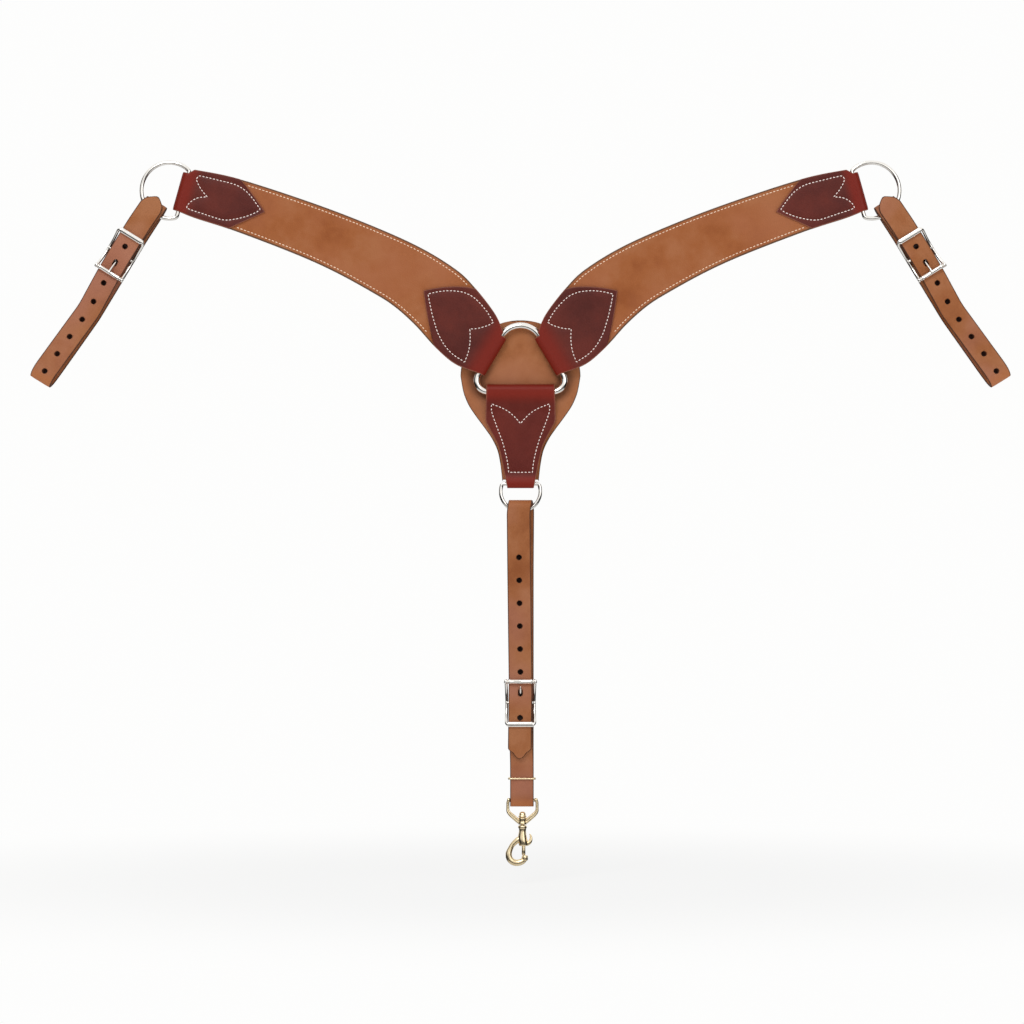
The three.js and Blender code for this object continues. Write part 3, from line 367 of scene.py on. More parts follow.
def rounded_rod(reach, y, radius, bead):
    """Rod along x between -reach and reach, its ends rounded off by `bead`."""
    quarter = np.linspace(0, math.pi / 2, 5)
    lead = bead * (1 - np.cos(quarter)) - reach
    size = radius - bead + bead * np.sin(quarter)
    x = np.concatenate([lead, -lead[::-1]])
    points = np.stack([x, np.full(len(x), y), np.zeros(len(x))], -1)
    return sweep(points, np.concatenate([size, size[::-1]]), sides=18)


def turned(profile, sides=32, centre=(0, 0, 0), axis="z"):
    """Solid of revolution from (radius, height) pairs; a closed profile makes a ring."""
    profile = np.asarray(profile, float)
    closed = bool(np.allclose(profile[0], profile[-1]))
    if closed:
        profile = profile[:-1]
    count = len(profile)
    turn = np.linspace(0, 2 * math.pi, sides, endpoint=False)
    radius, height = np.maximum(profile[:, 0], 0.02)[:, None], profile[:, 1][:, None]
    around = [radius * np.cos(turn), radius * np.sin(turn), np.broadcast_to(height, (count, sides))]
    order = {"z": (0, 1, 2), "x": (2, 0, 1)}[axis]
    return lofted(np.stack([around[k] for k in order], -1) + np.asarray(centre, float), closed)


def pair(profile, reach, y, z):
    """Two equal parts turned about x, `reach` to each side of the middle."""
    return [turned(profile, 20, (side * reach, y, z), "x") for side in (-1, 1)]


def stacked(rows):
    """Solid of level round sections from rows of x, z and radius."""
    turn = np.linspace(0, 2 * math.pi, 32, endpoint=False)
    x, z, radius = (column[:, None] for column in np.array(rows, float).T)
    return lofted(np.stack([x + radius * np.cos(turn), radius * np.sin(turn), z + 0 * turn], -1))


# One stitch as rings: place along its half length, share of its radius, and depth below the surface.
STITCH_RINGS = (
    (-1, 0.25, 0.5), (-0.82, 0.72, 0.22), (-0.4, 1, 0), (0.4, 1, 0), (0.82, 0.72, 0.22), (1, 0.25, 0.5),
)
STITCH_SIDES = 8
STITCH_LIFT = 0.12
STITCH_FLATNESS = 0.85


def stitches(line, depth_at, out, pitch=3.85, length=2.7, radius=0.46):
    """Single stitches along a line in the XZ plane, their ends drawn down into the leather."""
    total = distances(line)[-1]
    count = max(2, round(total / pitch))
    shares = (np.arange(count) + 0.5) / count
    nearby = 0.8 / total
    behind, centre, ahead = (
        resampled(line, np.clip(shares + shift, 0, 1)) for shift in (-nearby, 0, nearby))
    tangent = unit(ahead - behind)
    across = np.stack([-tangent[:, 1], tangent[:, 0]], -1)
    turn = np.linspace(0, 2 * math.pi, STITCH_SIDES, endpoint=False)
    around = np.tile(turn, len(STITCH_RINGS))
    t, size, drop = np.repeat(np.array(STITCH_RINGS).T, STITCH_SIDES, axis=1)
    wobble = RNG.uniform(0.92, 1.08, (count, 1))
    lean = RNG.normal(0, 0.05, (count, 1))
    forward = t * length / 2 * wobble
    sideways = size * radius * np.cos(around) + forward * lean
    lift = size * radius * STITCH_FLATNESS * np.sin(around) - drop + STITCH_LIFT
    flat = centre[:, None] + tangent[:, None] * forward[..., None] + across[:, None] * sideways[..., None]
    y = depth_at(centre)[:, None] + out * lift
    points = np.stack([flat[..., 0], np.broadcast_to(y, flat.shape[:2]), flat[..., 1]], -1)
    one = lofted(points[0].reshape(-1, STITCH_SIDES, 3)).faces
    shift = (np.arange(count) * len(t))[:, None, None]
    return Body(points.reshape(-1, 3), [(faces[None] + shift).reshape(-1, faces.shape[1]) for faces in one])


# ---- materials


def srgb(r, g, b):
    channels = [c / 255 for c in (r, g, b)]
    return (*[c / 12.92 if c <= 0.04045 else ((c + 0.055) / 1.055) ** 2.4 for c in channels], 1.0)


class Nodes:
    """Builds a node tree; an input given as a socket is linked, anything else is set."""

    def __init__(self, tree):
        self.tree = tree
        tree.nodes.clear()

    def add(self, kind, inputs=None, **settings):
        node = self.tree.nodes.new(kind)
        for name, value in settings.items():
            setattr(node, name, value)
        for name, value in (inputs or {}).items():
            self.feed(node.inputs[name], value)
        return node

    def feed(self, socket, value):
        if isinstance(value, bpy.types.NodeSocket):
            self.tree.links.new(value, socket)
        else:
            socket.default_value = value

    def ramp(self, value, stops, interpolation="LINEAR"):
        node = self.add("ShaderNodeValToRGB", {"Fac": value})
        node.color_ramp.interpolation = interpolation
        elements = node.color_ramp.elements
        while len(elements) < len(stops):
            elements.new(0.5)
        for element, (position, colour) in zip(elements, stops):
            element.position = position
            element.color = colour if isinstance(colour, tuple) else (colour, colour, colour, 1)
        return node.outputs["Color"]

    def mix(self, share, first, second, blend="MIX"):
        node = self.add("ShaderNodeMix", data_type="RGBA", blend_type=blend)
        for index, value in ((0, share), (6, first), (7, second)):
            self.feed(node.inputs[index], value)
        return node.outputs[2]

    def math(self, operation, *values):
        node = self.add("ShaderNodeMath", operation=operation)
        for socket, value in zip(node.inputs, values):
            self.feed(socket, value)
        return node.outputs[0]

    def noise(self, where, scale, detail=4, roughness=0.6):
        inputs = {"Vector": where, "Scale": scale, "Detail": detail, "Roughness": roughness}
        return self.add("ShaderNodeTexNoise", inputs).outputs["Fac"]


    def bump(self, height, strength, distance):
        inputs = {"Height": height, "Strength": strength, "Distance": distance}
        return self.add("ShaderNodeBump", inputs).outputs["Normal"]

    def principled(self, inputs):
        shader = self.add("ShaderNodeBsdfPrincipled", inputs)
        self.add("ShaderNodeOutputMaterial", {"Surface": shader.outputs["BSDF"]})


def new_material(name):
    """A material, its nodes, and the place on the object to draw its patterns by."""
    made = bpy.data.materials.new(name)
    made.use_nodes = True
    nodes = Nodes(made.node_tree)
    return made, nodes, nodes.add("ShaderNodeTexCoord").outputs["Object"]


# Painted shade inside and behind holes.
PAINTED_HOLE_SHADE = srgb(34, 12, 6)


def leather(name, tones, rim, painted_light, roughness, grain=0.35, coat=0.0, specular=0.26, blush=None):
    """Vegetable-tanned leather: cloudy tones, pores and fine grain, burnished rims, painted shade in holes,
    painted highlights on folds and painted shade round the ring.
    """
    made, nodes, where = new_material(name)
    clouds = nodes.noise(where, 21, 3, 0.55)
    mottle = nodes.noise(where, 95, 5, 0.65)
    shade = nodes.math("ADD", nodes.math("MULTIPLY", clouds, 0.72), nodes.math("MULTIPLY", mottle, 0.28))
    base = nodes.ramp(shade, list(zip((0.36, 0.48, 0.62), [srgb(*tone) for tone in tones])))
    if blush:
        patches = nodes.ramp(nodes.noise(where, 12, 2, 0.5), [(0.44, 0.0), (0.64, 0.65)])
        base = nodes.mix(patches, base, srgb(*blush))
    rim_and_shade_value, painted_light_value = (
        nodes.add("ShaderNodeAttribute", attribute_name=label).outputs["Fac"] for label in ("rim", "painted_light"))
    # Painted light: the painted-light colour, a highlight on folds or a shade round the ring.
    with_painted_light = nodes.mix(nodes.math("MULTIPLY", painted_light_value, 0.92), base, srgb(*painted_light))
    uneven = nodes.math("MULTIPLY", nodes.noise(where, 160, 3), 0.35)
    edge = nodes.math("SUBTRACT", nodes.math("MULTIPLY", rim_and_shade_value, 1.25), uneven)
    burnished = nodes.mix(nodes.ramp(edge, [(0.02, 0.0), (0.8, 1.0)]), with_painted_light, srgb(*rim))
    # Painted shade: rim values above 1 fade to the dark hole colour.
    depth = nodes.math("SUBTRACT", rim_and_shade_value, 1.0)
    colour = nodes.mix(nodes.ramp(depth, [(0.05, 0.0), (0.7, 1.0)]), burnished, PAINTED_HOLE_SHADE)
    pores = nodes.add("ShaderNodeTexVoronoi", {"Vector": where, "Scale": 820.0, "Randomness": 1.0})
    fibres = nodes.noise(where, 1500, 3, 0.7)
    creases = nodes.noise(where, 260, 5, 0.7)
    height = nodes.math("MULTIPLY", pores.outputs["Distance"], 0.55)
    height = nodes.math("ADD", height, nodes.math("MULTIPLY", fibres, 0.3))
    height = nodes.math("ADD", height, nodes.math("MULTIPLY", creases, 0.8))
    nodes.principled({
        "Base Color": colour, "Normal": nodes.bump(height, grain, 0.0004),
        "Roughness": nodes.math("ADD", nodes.math("MULTIPLY", mottle, 0.22), roughness - 0.11),
        "Specular IOR Level": specular, "Coat Weight": coat, "Coat Roughness": 0.32,
    })
    return made


def thread(name, colour):
    """Twisted thread with a faint glow, so that it reads as pale as waxed thread in full light."""
    made, nodes, where = new_material(name)
    ply = nodes.noise(where, 900, 2)
    pale = srgb(*colour)
    tint = nodes.mix(ply, tuple(0.8 * c for c in pale[:3]) + (1.0,), pale)
    nodes.principled({
        "Base Color": tint, "Roughness": 0.62, "Normal": nodes.bump(ply, 0.3, 0.0002),
        "Emission Color": tint, "Emission Strength": 0.12,
    })
    return made


def metal(name, colour, roughness, tarnish):
    """Polished metal under a patchy film of tarnish."""
    made, nodes, where = new_material(name)
    film = nodes.noise(where, 240, 4)
    tint = nodes.mix(nodes.ramp(film, [(0.42, 0.0), (0.75, 1.0)]), (*colour, 1), (*tarnish, 1))
    rough = nodes.math("ADD", nodes.math("MULTIPLY", film, 0.12), roughness - 0.05)
    ripple = nodes.noise(where, 420, 2)
    nodes.principled({
        "Base Color": tint, "Metallic": 1.0, "Roughness": rough, "Normal": nodes.bump(ripple, 0.06, 0.0003),
    })
    return made


# Leathers: three tones, rim, painted light (a highlight on folds, on the pad a shade round the ring),
# roughness and any other settings of leather().
LEATHERS = {
    "harness_leather": dict(
        tones=[(143, 76, 31), (155, 88, 43), (163, 100, 60)], rim=(96, 64, 42), painted_light=(180, 110, 66),
        roughness=0.56, blush=(164, 98, 62)),
    # strap_leather's rim colour is darker than burnish alone: it also paints the shade along the edges of the
    # stacked layers.
    "strap_leather": dict(
        tones=[(138, 76, 34), (152, 90, 48), (163, 104, 66)], rim=(64, 36, 22), painted_light=(178, 108, 62),
        roughness=0.54, blush=(168, 110, 90)),
    "lining_leather": dict(
        tones=[(124, 72, 40), (138, 84, 50), (150, 96, 62)], rim=(70, 44, 30), painted_light=(140, 85, 50),
        roughness=0.72),
    "pad_leather": dict(
        tones=[(146, 84, 42), (160, 98, 56), (170, 110, 70)], rim=(72, 44, 28), painted_light=(84, 42, 16),
        roughness=0.6, blush=(166, 104, 72)),
    "oxblood_latigo": dict(
        tones=[(76, 26, 20), (86, 32, 25), (97, 37, 28)], rim=(138, 84, 66), painted_light=(120, 30, 16),
        roughness=0.44, grain=0.28, coat=0.03, specular=0.18),
}
THREADS = {"edge_thread": (255, 226, 198), "chape_thread": (255, 240, 232)}
METALS = {
    "nickel": ((0.94, 0.91, 0.86), 0.1, (0.84, 0.80, 0.73)),
    "brass": ((0.86, 0.71, 0.46), 0.25, (0.72, 0.56, 0.33)),
    "spring_steel": ((0.55, 0.56, 0.58), 0.3, (0.42, 0.42, 0.43)),
}
MATERIALS = {name: leather(name, **settings) for name, settings in LEATHERS.items()}
MATERIALS.update({name: thread(name, colour) for name, colour in THREADS.items()})
MATERIALS.update({name: metal(name, *settings) for name, settings in METALS.items()})

# ---- pieces


def piece(node, body, slot, *parts, mirrored=False):
    """One piece for one CAD node: joins its bodies, faces them outwards and ties it to the frame."""
    points = np.vstack([part.points for part in parts]) * MM
    if mirrored:
        points[:, 0] *= -1
    points[:, 1] += WIRE_Y
    corners, sizes, offset = [], [], 0
    for part in parts:
        for faces in part.faces:
            corners.append((faces + offset).ravel())
            sizes.append(np.full(len(faces), faces.shape[1]))
        offset += len(part.points)
    corners, sizes = np.concatenate(corners), np.concatenate(sizes)
    name = f"{node}.look"
    mesh = bpy.data.meshes.new(name)
    mesh.vertices.add(len(points))
    mesh.vertices.foreach_set("co", points.astype(np.float32).ravel())
    mesh.loops.add(len(corners))
    mesh.loops.foreach_set("vertex_index", corners.astype(np.int32))
    mesh.polygons.add(len(sizes))
    mesh.polygons.foreach_set("loop_start", np.concatenate([[0], np.cumsum(sizes)[:-1]]).astype(np.int32))
    mesh.polygons.foreach_set("use_smooth", np.ones(len(sizes), bool))
    mesh.update(calc_edges=True)
    # Rim (burnish and painted shade) and painted light go onto the mesh as point attributes.
    for label in ("rim", "painted_light"):
        values = np.concatenate([getattr(part, label) for part in parts]).astype(np.float32)
        mesh.attributes.new(label, "FLOAT", "POINT").data.foreach_set("value", values)
    facing = bmesh.new()
    facing.from_mesh(mesh)
    bmesh.ops.recalc_face_normals(facing, faces=facing.faces)
    facing.to_mesh(mesh)
    facing.free()
    mesh.materials.append(MATERIALS[slot])
    made = bpy.data.objects.new(name, mesh)
    bpy.context.scene.collection.objects.link(made)
    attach(made, body)
    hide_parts(node)
    return made


# ---- centre ring and dees


def closed_outline(points, step):
    points = evenly(np.vstack([points, points[:1]]), step)
    return points[:-1]


def in_plane(points):
    return np.stack([points[:, 0], np.zeros(len(points)), points[:, 1]], -1)


def ring_outline():
    side = math.degrees(RING_SIDE_ANGLE)
    top_z = RING_APEX_Z - RING_TOP_FILLET / math.sin(RING_SIDE_ANGLE)
    base_x = RING_BASE_HALF - RING_BASE_FILLET / math.tan((math.pi / 2 - RING_SIDE_ANGLE) / 2)
    base_z = RING_BASE_Z + RING_BASE_FILLET
    return chain(
        arc((base_x, base_z), RING_BASE_FILLET, -90, side),
        arc((0, top_z), RING_TOP_FILLET, side, 180 - side),
        arc((-base_x, base_z), RING_BASE_FILLET, 180 - side, 270),
    )


def dee_outline(centre, to_bar, radius, bar, fillet):
    rise = math.sqrt((radius - fillet) ** 2 - (bar - fillet) ** 2)
    corner = math.degrees(math.atan2(rise, bar - fillet))
    flat = chain(
        arc((bar - fillet, rise), fillet, 0, corner),
        arc((0, 0), radius, corner, 360 - corner, 72),
        arc((bar - fillet, -rise), fillet, -corner, 0),
    )
    beside = np.array([-to_bar[1], to_bar[0]])
    return np.asarray(centre) + flat[:, :1] * np.asarray(to_bar) + flat[:, 1:] * beside


def wire_loop(outline, radius, step=1.4):
    return sweep(in_plane(closed_outline(outline, step)), radius, True, 24)


LOWER_DEE = dee_outline((0, LOWER_DEE_Z), (0, 1), LOWER_DEE_RADIUS, LOWER_DEE_BAR, LOWER_DEE_FILLET)
piece("centre_ring", "ring", "nickel", wire_loop(ring_outline(), RING_WIRE))
piece("lower_dee", "lower_dee", "nickel", wire_loop(LOWER_DEE, LOWER_DEE_WIRE, 1.1))

# ---- chest pad

PAD_WIDEST = (64.8, -17.6)
PAD_NECK = (20.0, -129.6)
PAD_DOME = 60.5
PAD_Y, PAD_BEHIND_RING, PAD_BEHIND_DEE, PAD_ARM_SLOPE = 2.8, 3.9, 2.4, 0.2
PAD_COLUMNS_A_SIDE = 33
PAD_SLOPE_LIMIT = 0.4


def pad_front(x, z):
    """Depth of the pad's front: close under the tab, further back behind the ring, the arms and the dee."""
    arm_x, arm_z = ARM_UPPER[0]
    beyond_bar = math.cos(RING_SIDE_ANGLE) * (np.abs(x) + arm_x) + math.sin(RING_SIDE_ANGLE) * (z - arm_z)
    rise = PAD_BEHIND_RING * smooth(z, -66, -38) + PAD_BEHIND_DEE * smooth(-z, 112, -PAD_NECK[1])
    return PAD_Y + rise + PAD_ARM_SLOPE * np.maximum(0, beyond_bar)


def chest_pad():
    """Domed leather behind the ring, with painted shade on it round the ring."""
    turn = np.radians(np.concatenate([[3.2, 9], np.linspace(13, 89, 26)]))
    top = np.stack([PAD_WIDEST[0] * np.sin(turn), PAD_WIDEST[1] + PAD_DOME * np.cos(turn)], -1)
    flank = spline([
        PAD_WIDEST, (61.6, -35), (56.3, -48.6), (48, -61.3), (38.6, -74), (31, -85.1), (25, -97.7),
        (21.9, -112), (20, -127.6), PAD_NECK,
    ], 5)
    edge = chain(top, flank)
    half = np.linspace(0, 1, PAD_COLUMNS_A_SIDE) ** 0.9
    shares = np.concatenate([-half[:0:-1], half])
    x = edge[:, :1] * shares[None]
    z = np.repeat(edge[:, 1:], len(shares), axis=1)
    front = pad_front(x, z)
    middle = np.stack([x, front + STRAP_HALF, z], -1)
    slope_x = np.gradient(front, axis=1) / np.maximum(np.gradient(x, axis=1), 0.05)
    slope_x = np.clip(slope_x, -PAD_SLOPE_LIMIT, PAD_SLOPE_LIMIT)
    normals = unit(np.stack([slope_x, -np.ones_like(x), np.zeros_like(x)], -1))
    normals[0], normals[-1] = normals[1], normals[-2]
    flat = np.stack([x.ravel(), z.ravel()], -1)
    inside = from_line(flat, np.vstack([edge * (-1, 1), edge[::-1]]))
    press = 0.25 * smooth(inside, 1.5, 7)
    dents = 0.18 * np.sin(flat[:, 0] * 0.13 + 1.2) * np.sin(flat[:, 1] * 0.09)
    # Painted shade round the ring, on both faces of the pad.
    near_ring = 1 - smooth(from_line(flat, ring_outline()), 3, 15)
    painted_ring_shade = 0.8 * near_ring * smooth(np.abs(flat[:, 0]), 22, 40)
    return sheet(middle, normals, STRAP_HALF, 0.9, press + dents * smooth(inside, 3, 10), painted_ring_shade)


piece("chest_pad", "chest", "pad_leather", chest_pad())

# ---- folded straps


RUN_STEP = 0.35
SWAY_SOFTENING = 12.0


def averaged(values, width):
    """Moving average over an odd number of samples."""
    padded = np.pad(values, width // 2, mode="edge")
    return np.convolve(padded, np.ones(width) / width, "valid")


class Run:
    """Side view of a folded leather: depth and height by distance travelled, and its grain side.

    `sway` moves it sideways, as pairs of distance and shift.
    """

    def __init__(self, path, sway=((0, 0), (1, 0))):
        self.points = evenly(path, RUN_STEP)
        self.travelled = distances(self.points)
        self.length = self.travelled[-1]
        run = np.gradient(self.points, axis=0)
        self.tangent = unit(np.stack([averaged(column, 5) for column in run.T], -1))
        sideways = np.interp(self.travelled, *np.array(sway, float).T)
        self.sideways = averaged(sideways, int(SWAY_SOFTENING / RUN_STEP) | 1)

    def _at(self, values, s):
        return np.interp(s, self.travelled, values)

    def middle(self, s, x):
        sideways, y, z = (self._at(values, s) for values in (self.sideways, *self.points.T))
        return np.stack([x + sideways, y, z], -1)

    def direction(self, s):
        y, z = (self._at(values, s) for values in self.tangent.T)
        return unit(np.stack([np.zeros_like(y), y, z], -1))

    def normal(self, s):
        along = self.direction(s)
        return np.stack([along[..., 0], along[..., 2], -along[..., 1]], -1)

    def crossings(self, height):
        above = self.points[:, 1] - height
        at = np.nonzero(above[:-1] * above[1:] < 0)[0]
        share = above[at] / (above[at] - above[at + 1])
        return self.travelled[at] + share * (self.travelled[at + 1] - self.travelled[at])


class Opening:
    """Round or long hole: its straight axis from `start` to `end`, and its lean through the leather."""

    def __init__(self, start, end, radius=HOLE_RADIUS, lean=0.0):
        self.start, self.end, self.radius, self.lean = start, end, radius, lean
        self.low, self.high = start - HOLE_BLOCK, end + HOLE_BLOCK

    def nearest(self, flat):
        axis = np.stack([np.clip(flat[:, 0], self.start, self.end), np.zeros(len(flat))], -1)
        return axis + self.radius * unit(flat - axis)

    def distance(self, s, x):
        return np.hypot(s - np.clip(s, self.start, self.end), x) - self.radius


def strap_net(length, openings, step, width_at, columns):
    """Flat net (travelled, sideways) with the openings cut in; returns points, quads, loops and lean."""
    offsets = np.array([-c for c in reversed(columns)] + [0.0] + list(columns))
    breaks = [0.0, 1.5, *[edge for o in openings for edge in (o.low, o.high)], length - 1.5, length]
    rows = [0.0]
    for low, high in zip(breaks, breaks[1:]):
        cells = max(1, math.ceil((high - low) / step))
        rows.extend(np.linspace(low, high, cells + 1)[1:])
    rows = np.array(rows)
    s = np.repeat(rows[:, None], len(offsets), axis=1)
    x = offsets[None] * (width_at(rows) / offsets[-1])[:, None]
    points, lean = [np.stack([s.ravel(), x.ravel()], -1)], [np.zeros(s.size)]
    index = numbered(*s.shape)
    kept = np.ones((len(rows) - 1, len(offsets) - 1), bool)
    first = np.searchsorted(offsets, -HOLE_BLOCK - 1e-6)
    last = np.searchsorted(offsets, HOLE_BLOCK + 1e-6) - 1
    loops, extra, offset = [border(index)], [], s.size
    for opening in openings:
        low, high = (int(np.abs(rows - edge).argmin()) for edge in (opening.low, opening.high))
        kept[low:high, first:last] = False
        outer = border(index[low:high + 1, first:last + 1])
        outline = points[0][outer]
        hole = opening.nearest(outline)
        previous = outer
        for share in (0.62, 0.28, 0.0):
            points.append(hole + (outline - hole) * share)
            lean.append(np.full(len(outer), opening.lean * (1 - share)))
            ring = offset + np.arange(len(outer))
            extra.append(np.stack([previous, ring, np.roll(ring, -1), np.roll(previous, -1)], -1))
            previous = ring
            offset += len(outer)
        loops.append(previous)
    quads = np.vstack([grid_faces(index)[kept.ravel()], *extra])
    points, lean = np.vstack(points), np.concatenate(lean)
    used = np.unique(quads)
    renumber = np.full(len(points), -1)
    renumber[used] = np.arange(len(used))
    return points[used], renumber[quads], [renumber[loop] for loop in loops], lean[used]


def strap_body(run, openings, width_at, painted_light):
    """Strap with punched holes, dented round each hole; the last argument gives, by height, the painted
    highlight where it turns.
    """
    flat, quads, loops, lean = strap_net(run.length, openings, 1.5, width_at, STRAP_COLUMNS)
    s, x = flat.T
    middle = run.middle(s, x)
    normals = run.normal(s) + run.direction(s) * lean[:, None]
    edge = np.minimum(width_at(s) - np.abs(x), np.minimum(s, run.length - s))
    raised = 0.16 * smooth(edge, 0.5, 5)
    shade = np.zeros(len(s))
    for opening in openings:
        raised = raised - HOLE_DENT * np.exp(-((opening.distance(s, x) / 0.9) ** 2))
        at = run.middle(np.array([(opening.start + opening.end) / 2]), np.zeros(1))[0]
        reach = np.hypot(middle[:, 0] - at[0], middle[:, 2] - at[2])
        behind = (np.abs(s - opening.start) > BEHIND_TRAVEL) & (middle[:, 1] > at[1])
        shade = np.maximum(shade, HOLE_SHADE * (1 - smooth(reach, 2.4, 4.6)) * behind)
    # Burnish near the edges; with strap_leather's dark rim colour it also paints the shade along the layers'
    # edges.
    band = 0.6 * (1 - smooth(edge, 0.5, 1.7))
    return leather_body(
        middle, normals, quads, loops, STRAP_HALF, 0.75, raised, painted_light(middle[:, 2]), band, shade)


def tongue_opening(run, bar_z, sense):
    """Hole the tongue passes through: it reaches from the lifted tongue to the resting one."""
    s = np.linspace(0, run.length * 0.5, 4000)
    ends = []
    for height in (STRAP_HALF, -STRAP_HALF):
        surface = run.middle(s, 0 * s) + height * run.normal(s)
        ahead = sense * (bar_z - surface[:, 2])
        near = (ahead > 1) & (ahead < 30)
        angle = np.arctan2(BAR_Y - surface[near, 1], ahead[near])
        resting, lifted = (
            np.interp(-a, -angle, s[near]) for a in (TONGUE_ANGLE, TONGUE_ANGLE + TONGUE_TRAVEL))
        ends.append((lifted, resting))
    lifted, resting = np.mean(ends, axis=0)
    lean = (ends[0][1] - ends[1][1]) / (2 * STRAP_HALF)
    before, after = TONGUE_SLOT_PLAY
    return Opening(lifted - before, resting + after, TONGUE_SLOT_HALF_WIDTH, lean)


def strap_openings(run, bar_z, sense, heights):
    """Punched holes, the tongue's hole, and the slot the tongue's eye stands in where the strap folds."""
    round_holes = [Opening(at, at + 0.01) for at in (run.crossings(z)[0] for z in heights)]
    into, out = run.crossings(bar_z + sense * BAR_TO_SLOT)[-2:]
    slot = Opening(into + SLOT_HALF_WIDTH, out - SLOT_HALF_WIDTH, SLOT_HALF_WIDTH)
    return sorted([*round_holes, tongue_opening(run, bar_z, sense), slot], key=lambda opening: opening.start)


# ---- chest tab

TAB_WIDTHS = [
    (-140, 13.9), (-128, 16.4), (-120, 18), (-109, 20.2), (-100, 22.2), (-91, 25), (-80, 30.6), (-74, 34),
    (-68, 37.2), (-64, 38), (-50, 37.6), (-26, 36.8),
]
TAB_SEAM_TOP = spline([(0, -69), (6.6, -61.6), (13.2, -56), (21, -51.8), (31.3, -47.8)])
TAB_SEAM_SIDE = spline([
    (31.3, -47.8), (31, -56.6), (26.2, -70.8), (20.2, -86.7), (16.2, -100.9), (13.9, -112), (12.8, -121.6),
])
TAB_SEAM = chain(
    TAB_SEAM_TOP[::-1] * (-1, 1), TAB_SEAM_TOP, TAB_SEAM_SIDE, TAB_SEAM_SIDE[::-1] * (-1, 1),
)
GROOVE = 0.42
SEAM_DEPTH = 0.8 * GROOVE


def groove(away, depth=GROOVE, width=0.85):
    """Relief of the groove that stitches lie in, by distance from their line."""
    return -depth * np.exp(-((away / width) ** 2))


def tab_run():
    """Up behind, over the ring's base, down the front, round the lower dee and back up."""
    dee_z = LOWER_DEE_Z + LOWER_DEE_BAR
    flat, ring, dee = 1.35, 5, 3.6
    return Run(chain(
        (flat, -88), (flat, -58), bezier((flat, -58), (flat, -50), (ring, -48), (ring, TAB_FOLD_Z)),
        arc((0, TAB_FOLD_Z), ring, 0, 180),
        bezier((-ring, TAB_FOLD_Z), (-ring, -48), (-flat, -50), (-flat, -58)), (-flat, -122),
        bezier((-flat, -122), (-flat, -128), (-dee, -128), (-dee, dee_z)), arc((0, dee_z), dee, 180, 360),
        bezier((dee, dee_z), (dee, -128), (flat, -128), (flat, -122)), (flat, -91),
    ))


def chest_tab():
    run = tab_run()
    heights, widths = np.array(TAB_WIDTHS, float).T

    def width_at(s):
        return np.interp(np.interp(s, run.travelled, run.points[:, 1]), heights, widths)

    widest = 36.2
    columns = (*(np.linspace(0, 1, 26)[1:-1] * widest * 0.97), widest)
    flat, quads, loops, _ = strap_net(run.length, [], 1.1, width_at, columns)
    s, x = flat.T
    middle, normals = run.middle(s, x), run.normal(s)
    z, away = middle[:, 2], from_line(middle[:, [0, 2]], TAB_SEAM)
    stitched = np.where(normals[:, 1] < -0.5, groove(away) + 0.22 * smooth(away, 1, 6), 0)
    raised = stitched * smooth(width_at(s) - np.abs(x), 0.6, 2)
    # The tab's own redder tone everywhere, with a painted highlight on its folds round the ring and the lower
    # dee.
    tint = np.maximum(smooth(z, -50, -33), smooth(-z, 123, 131)) * 0.95 + 0.28
    return leather_body(middle, normals, quads, loops, LATIGO_HALF, 0.7, raised, tint)


def tab_face(flat):
    """Depth of the tab's front face."""
    points = tab_run().points
    y, z = points[points[:, 0] < 0].T
    order = np.argsort(z)
    return np.interp(flat[:, 1], z[order], y[order]) - LATIGO_HALF


piece("chest_tab", "chest", "oxblood_latigo", chest_tab())
TAB_STITCHES = stitches(TAB_SEAM, lambda flat: tab_face(flat) + SEAM_DEPTH, -1)
piece("chest_tab_seam", "chest", "chape_thread", TAB_STITCHES)

# ---- arms

UPPER_EDGE = spline(ARM_UPPER, 40)
LOWER_EDGE = spline(ARM_LOWER, 40)


def beyond(points, origin, outward, distance):
    """The part of a row of points that lies at least `distance` beyond a line."""
    return points[(points - origin) @ outward >= distance]


def edge_line(edge, side, low, high):
    """A line EDGE_SEAM_INSET inside an arm's edge, between two places."""
    run = unit(np.gradient(edge, axis=0))
    line = edge + side * EDGE_SEAM_INSET * np.stack([-run[:, 1], run[:, 0]], -1)
    return line[(line[:, 0] >= low) & (line[:, 0] <= high)]


UPPER_SEAM = edge_line(UPPER_EDGE, 1, -296, -57)
LOWER_SEAM = edge_line(LOWER_EDGE, -1, -308, -101)


ARM_CELLS = (1.8, 1.7)
ARM_COLUMNS_NEAR_EDGE = (0, 1.3, 2.3, 3.0, 3.5, 3.9, 4.2, 4.5, 4.9, 5.4, 6.2, 7.4)


def arm_net():
    """Net of the arm's face, finest by the stitch grooves, and each point's distance inside the edge."""
    edges = []
    for edge in (UPPER_EDGE, LOWER_EDGE):
        kept = beyond(edge, RING_FOLD_TOP, RING_OUTWARD, ARM_SHORT_OF_BAR)
        edges.append(beyond(kept, DEE_FOLD_BOTTOM, DEE_TO_BAR, ARM_SHORT_OF_BAR))
    shares = spaced(distances(edges[0])[-1], *ARM_CELLS)
    upper, lower = resampled(edges[0], shares), resampled(edges[1], shares)
    width = np.linalg.norm(lower - upper, axis=1)
    near = np.array(ARM_COLUMNS_NEAR_EDGE)
    inner = np.linspace(0, 1, 22)[1:-1]
    across = np.concatenate([
        np.repeat(near[None], len(width), 0),
        near[-1] + inner[None] * (width[:, None] - 2 * near[-1]),
        width[:, None] - near[::-1][None],
    ], axis=1)
    line = unit(lower - upper)
    flat = upper[:, None] + line[:, None] * across[..., None]
    return flat, np.minimum(across, width[:, None] - across)


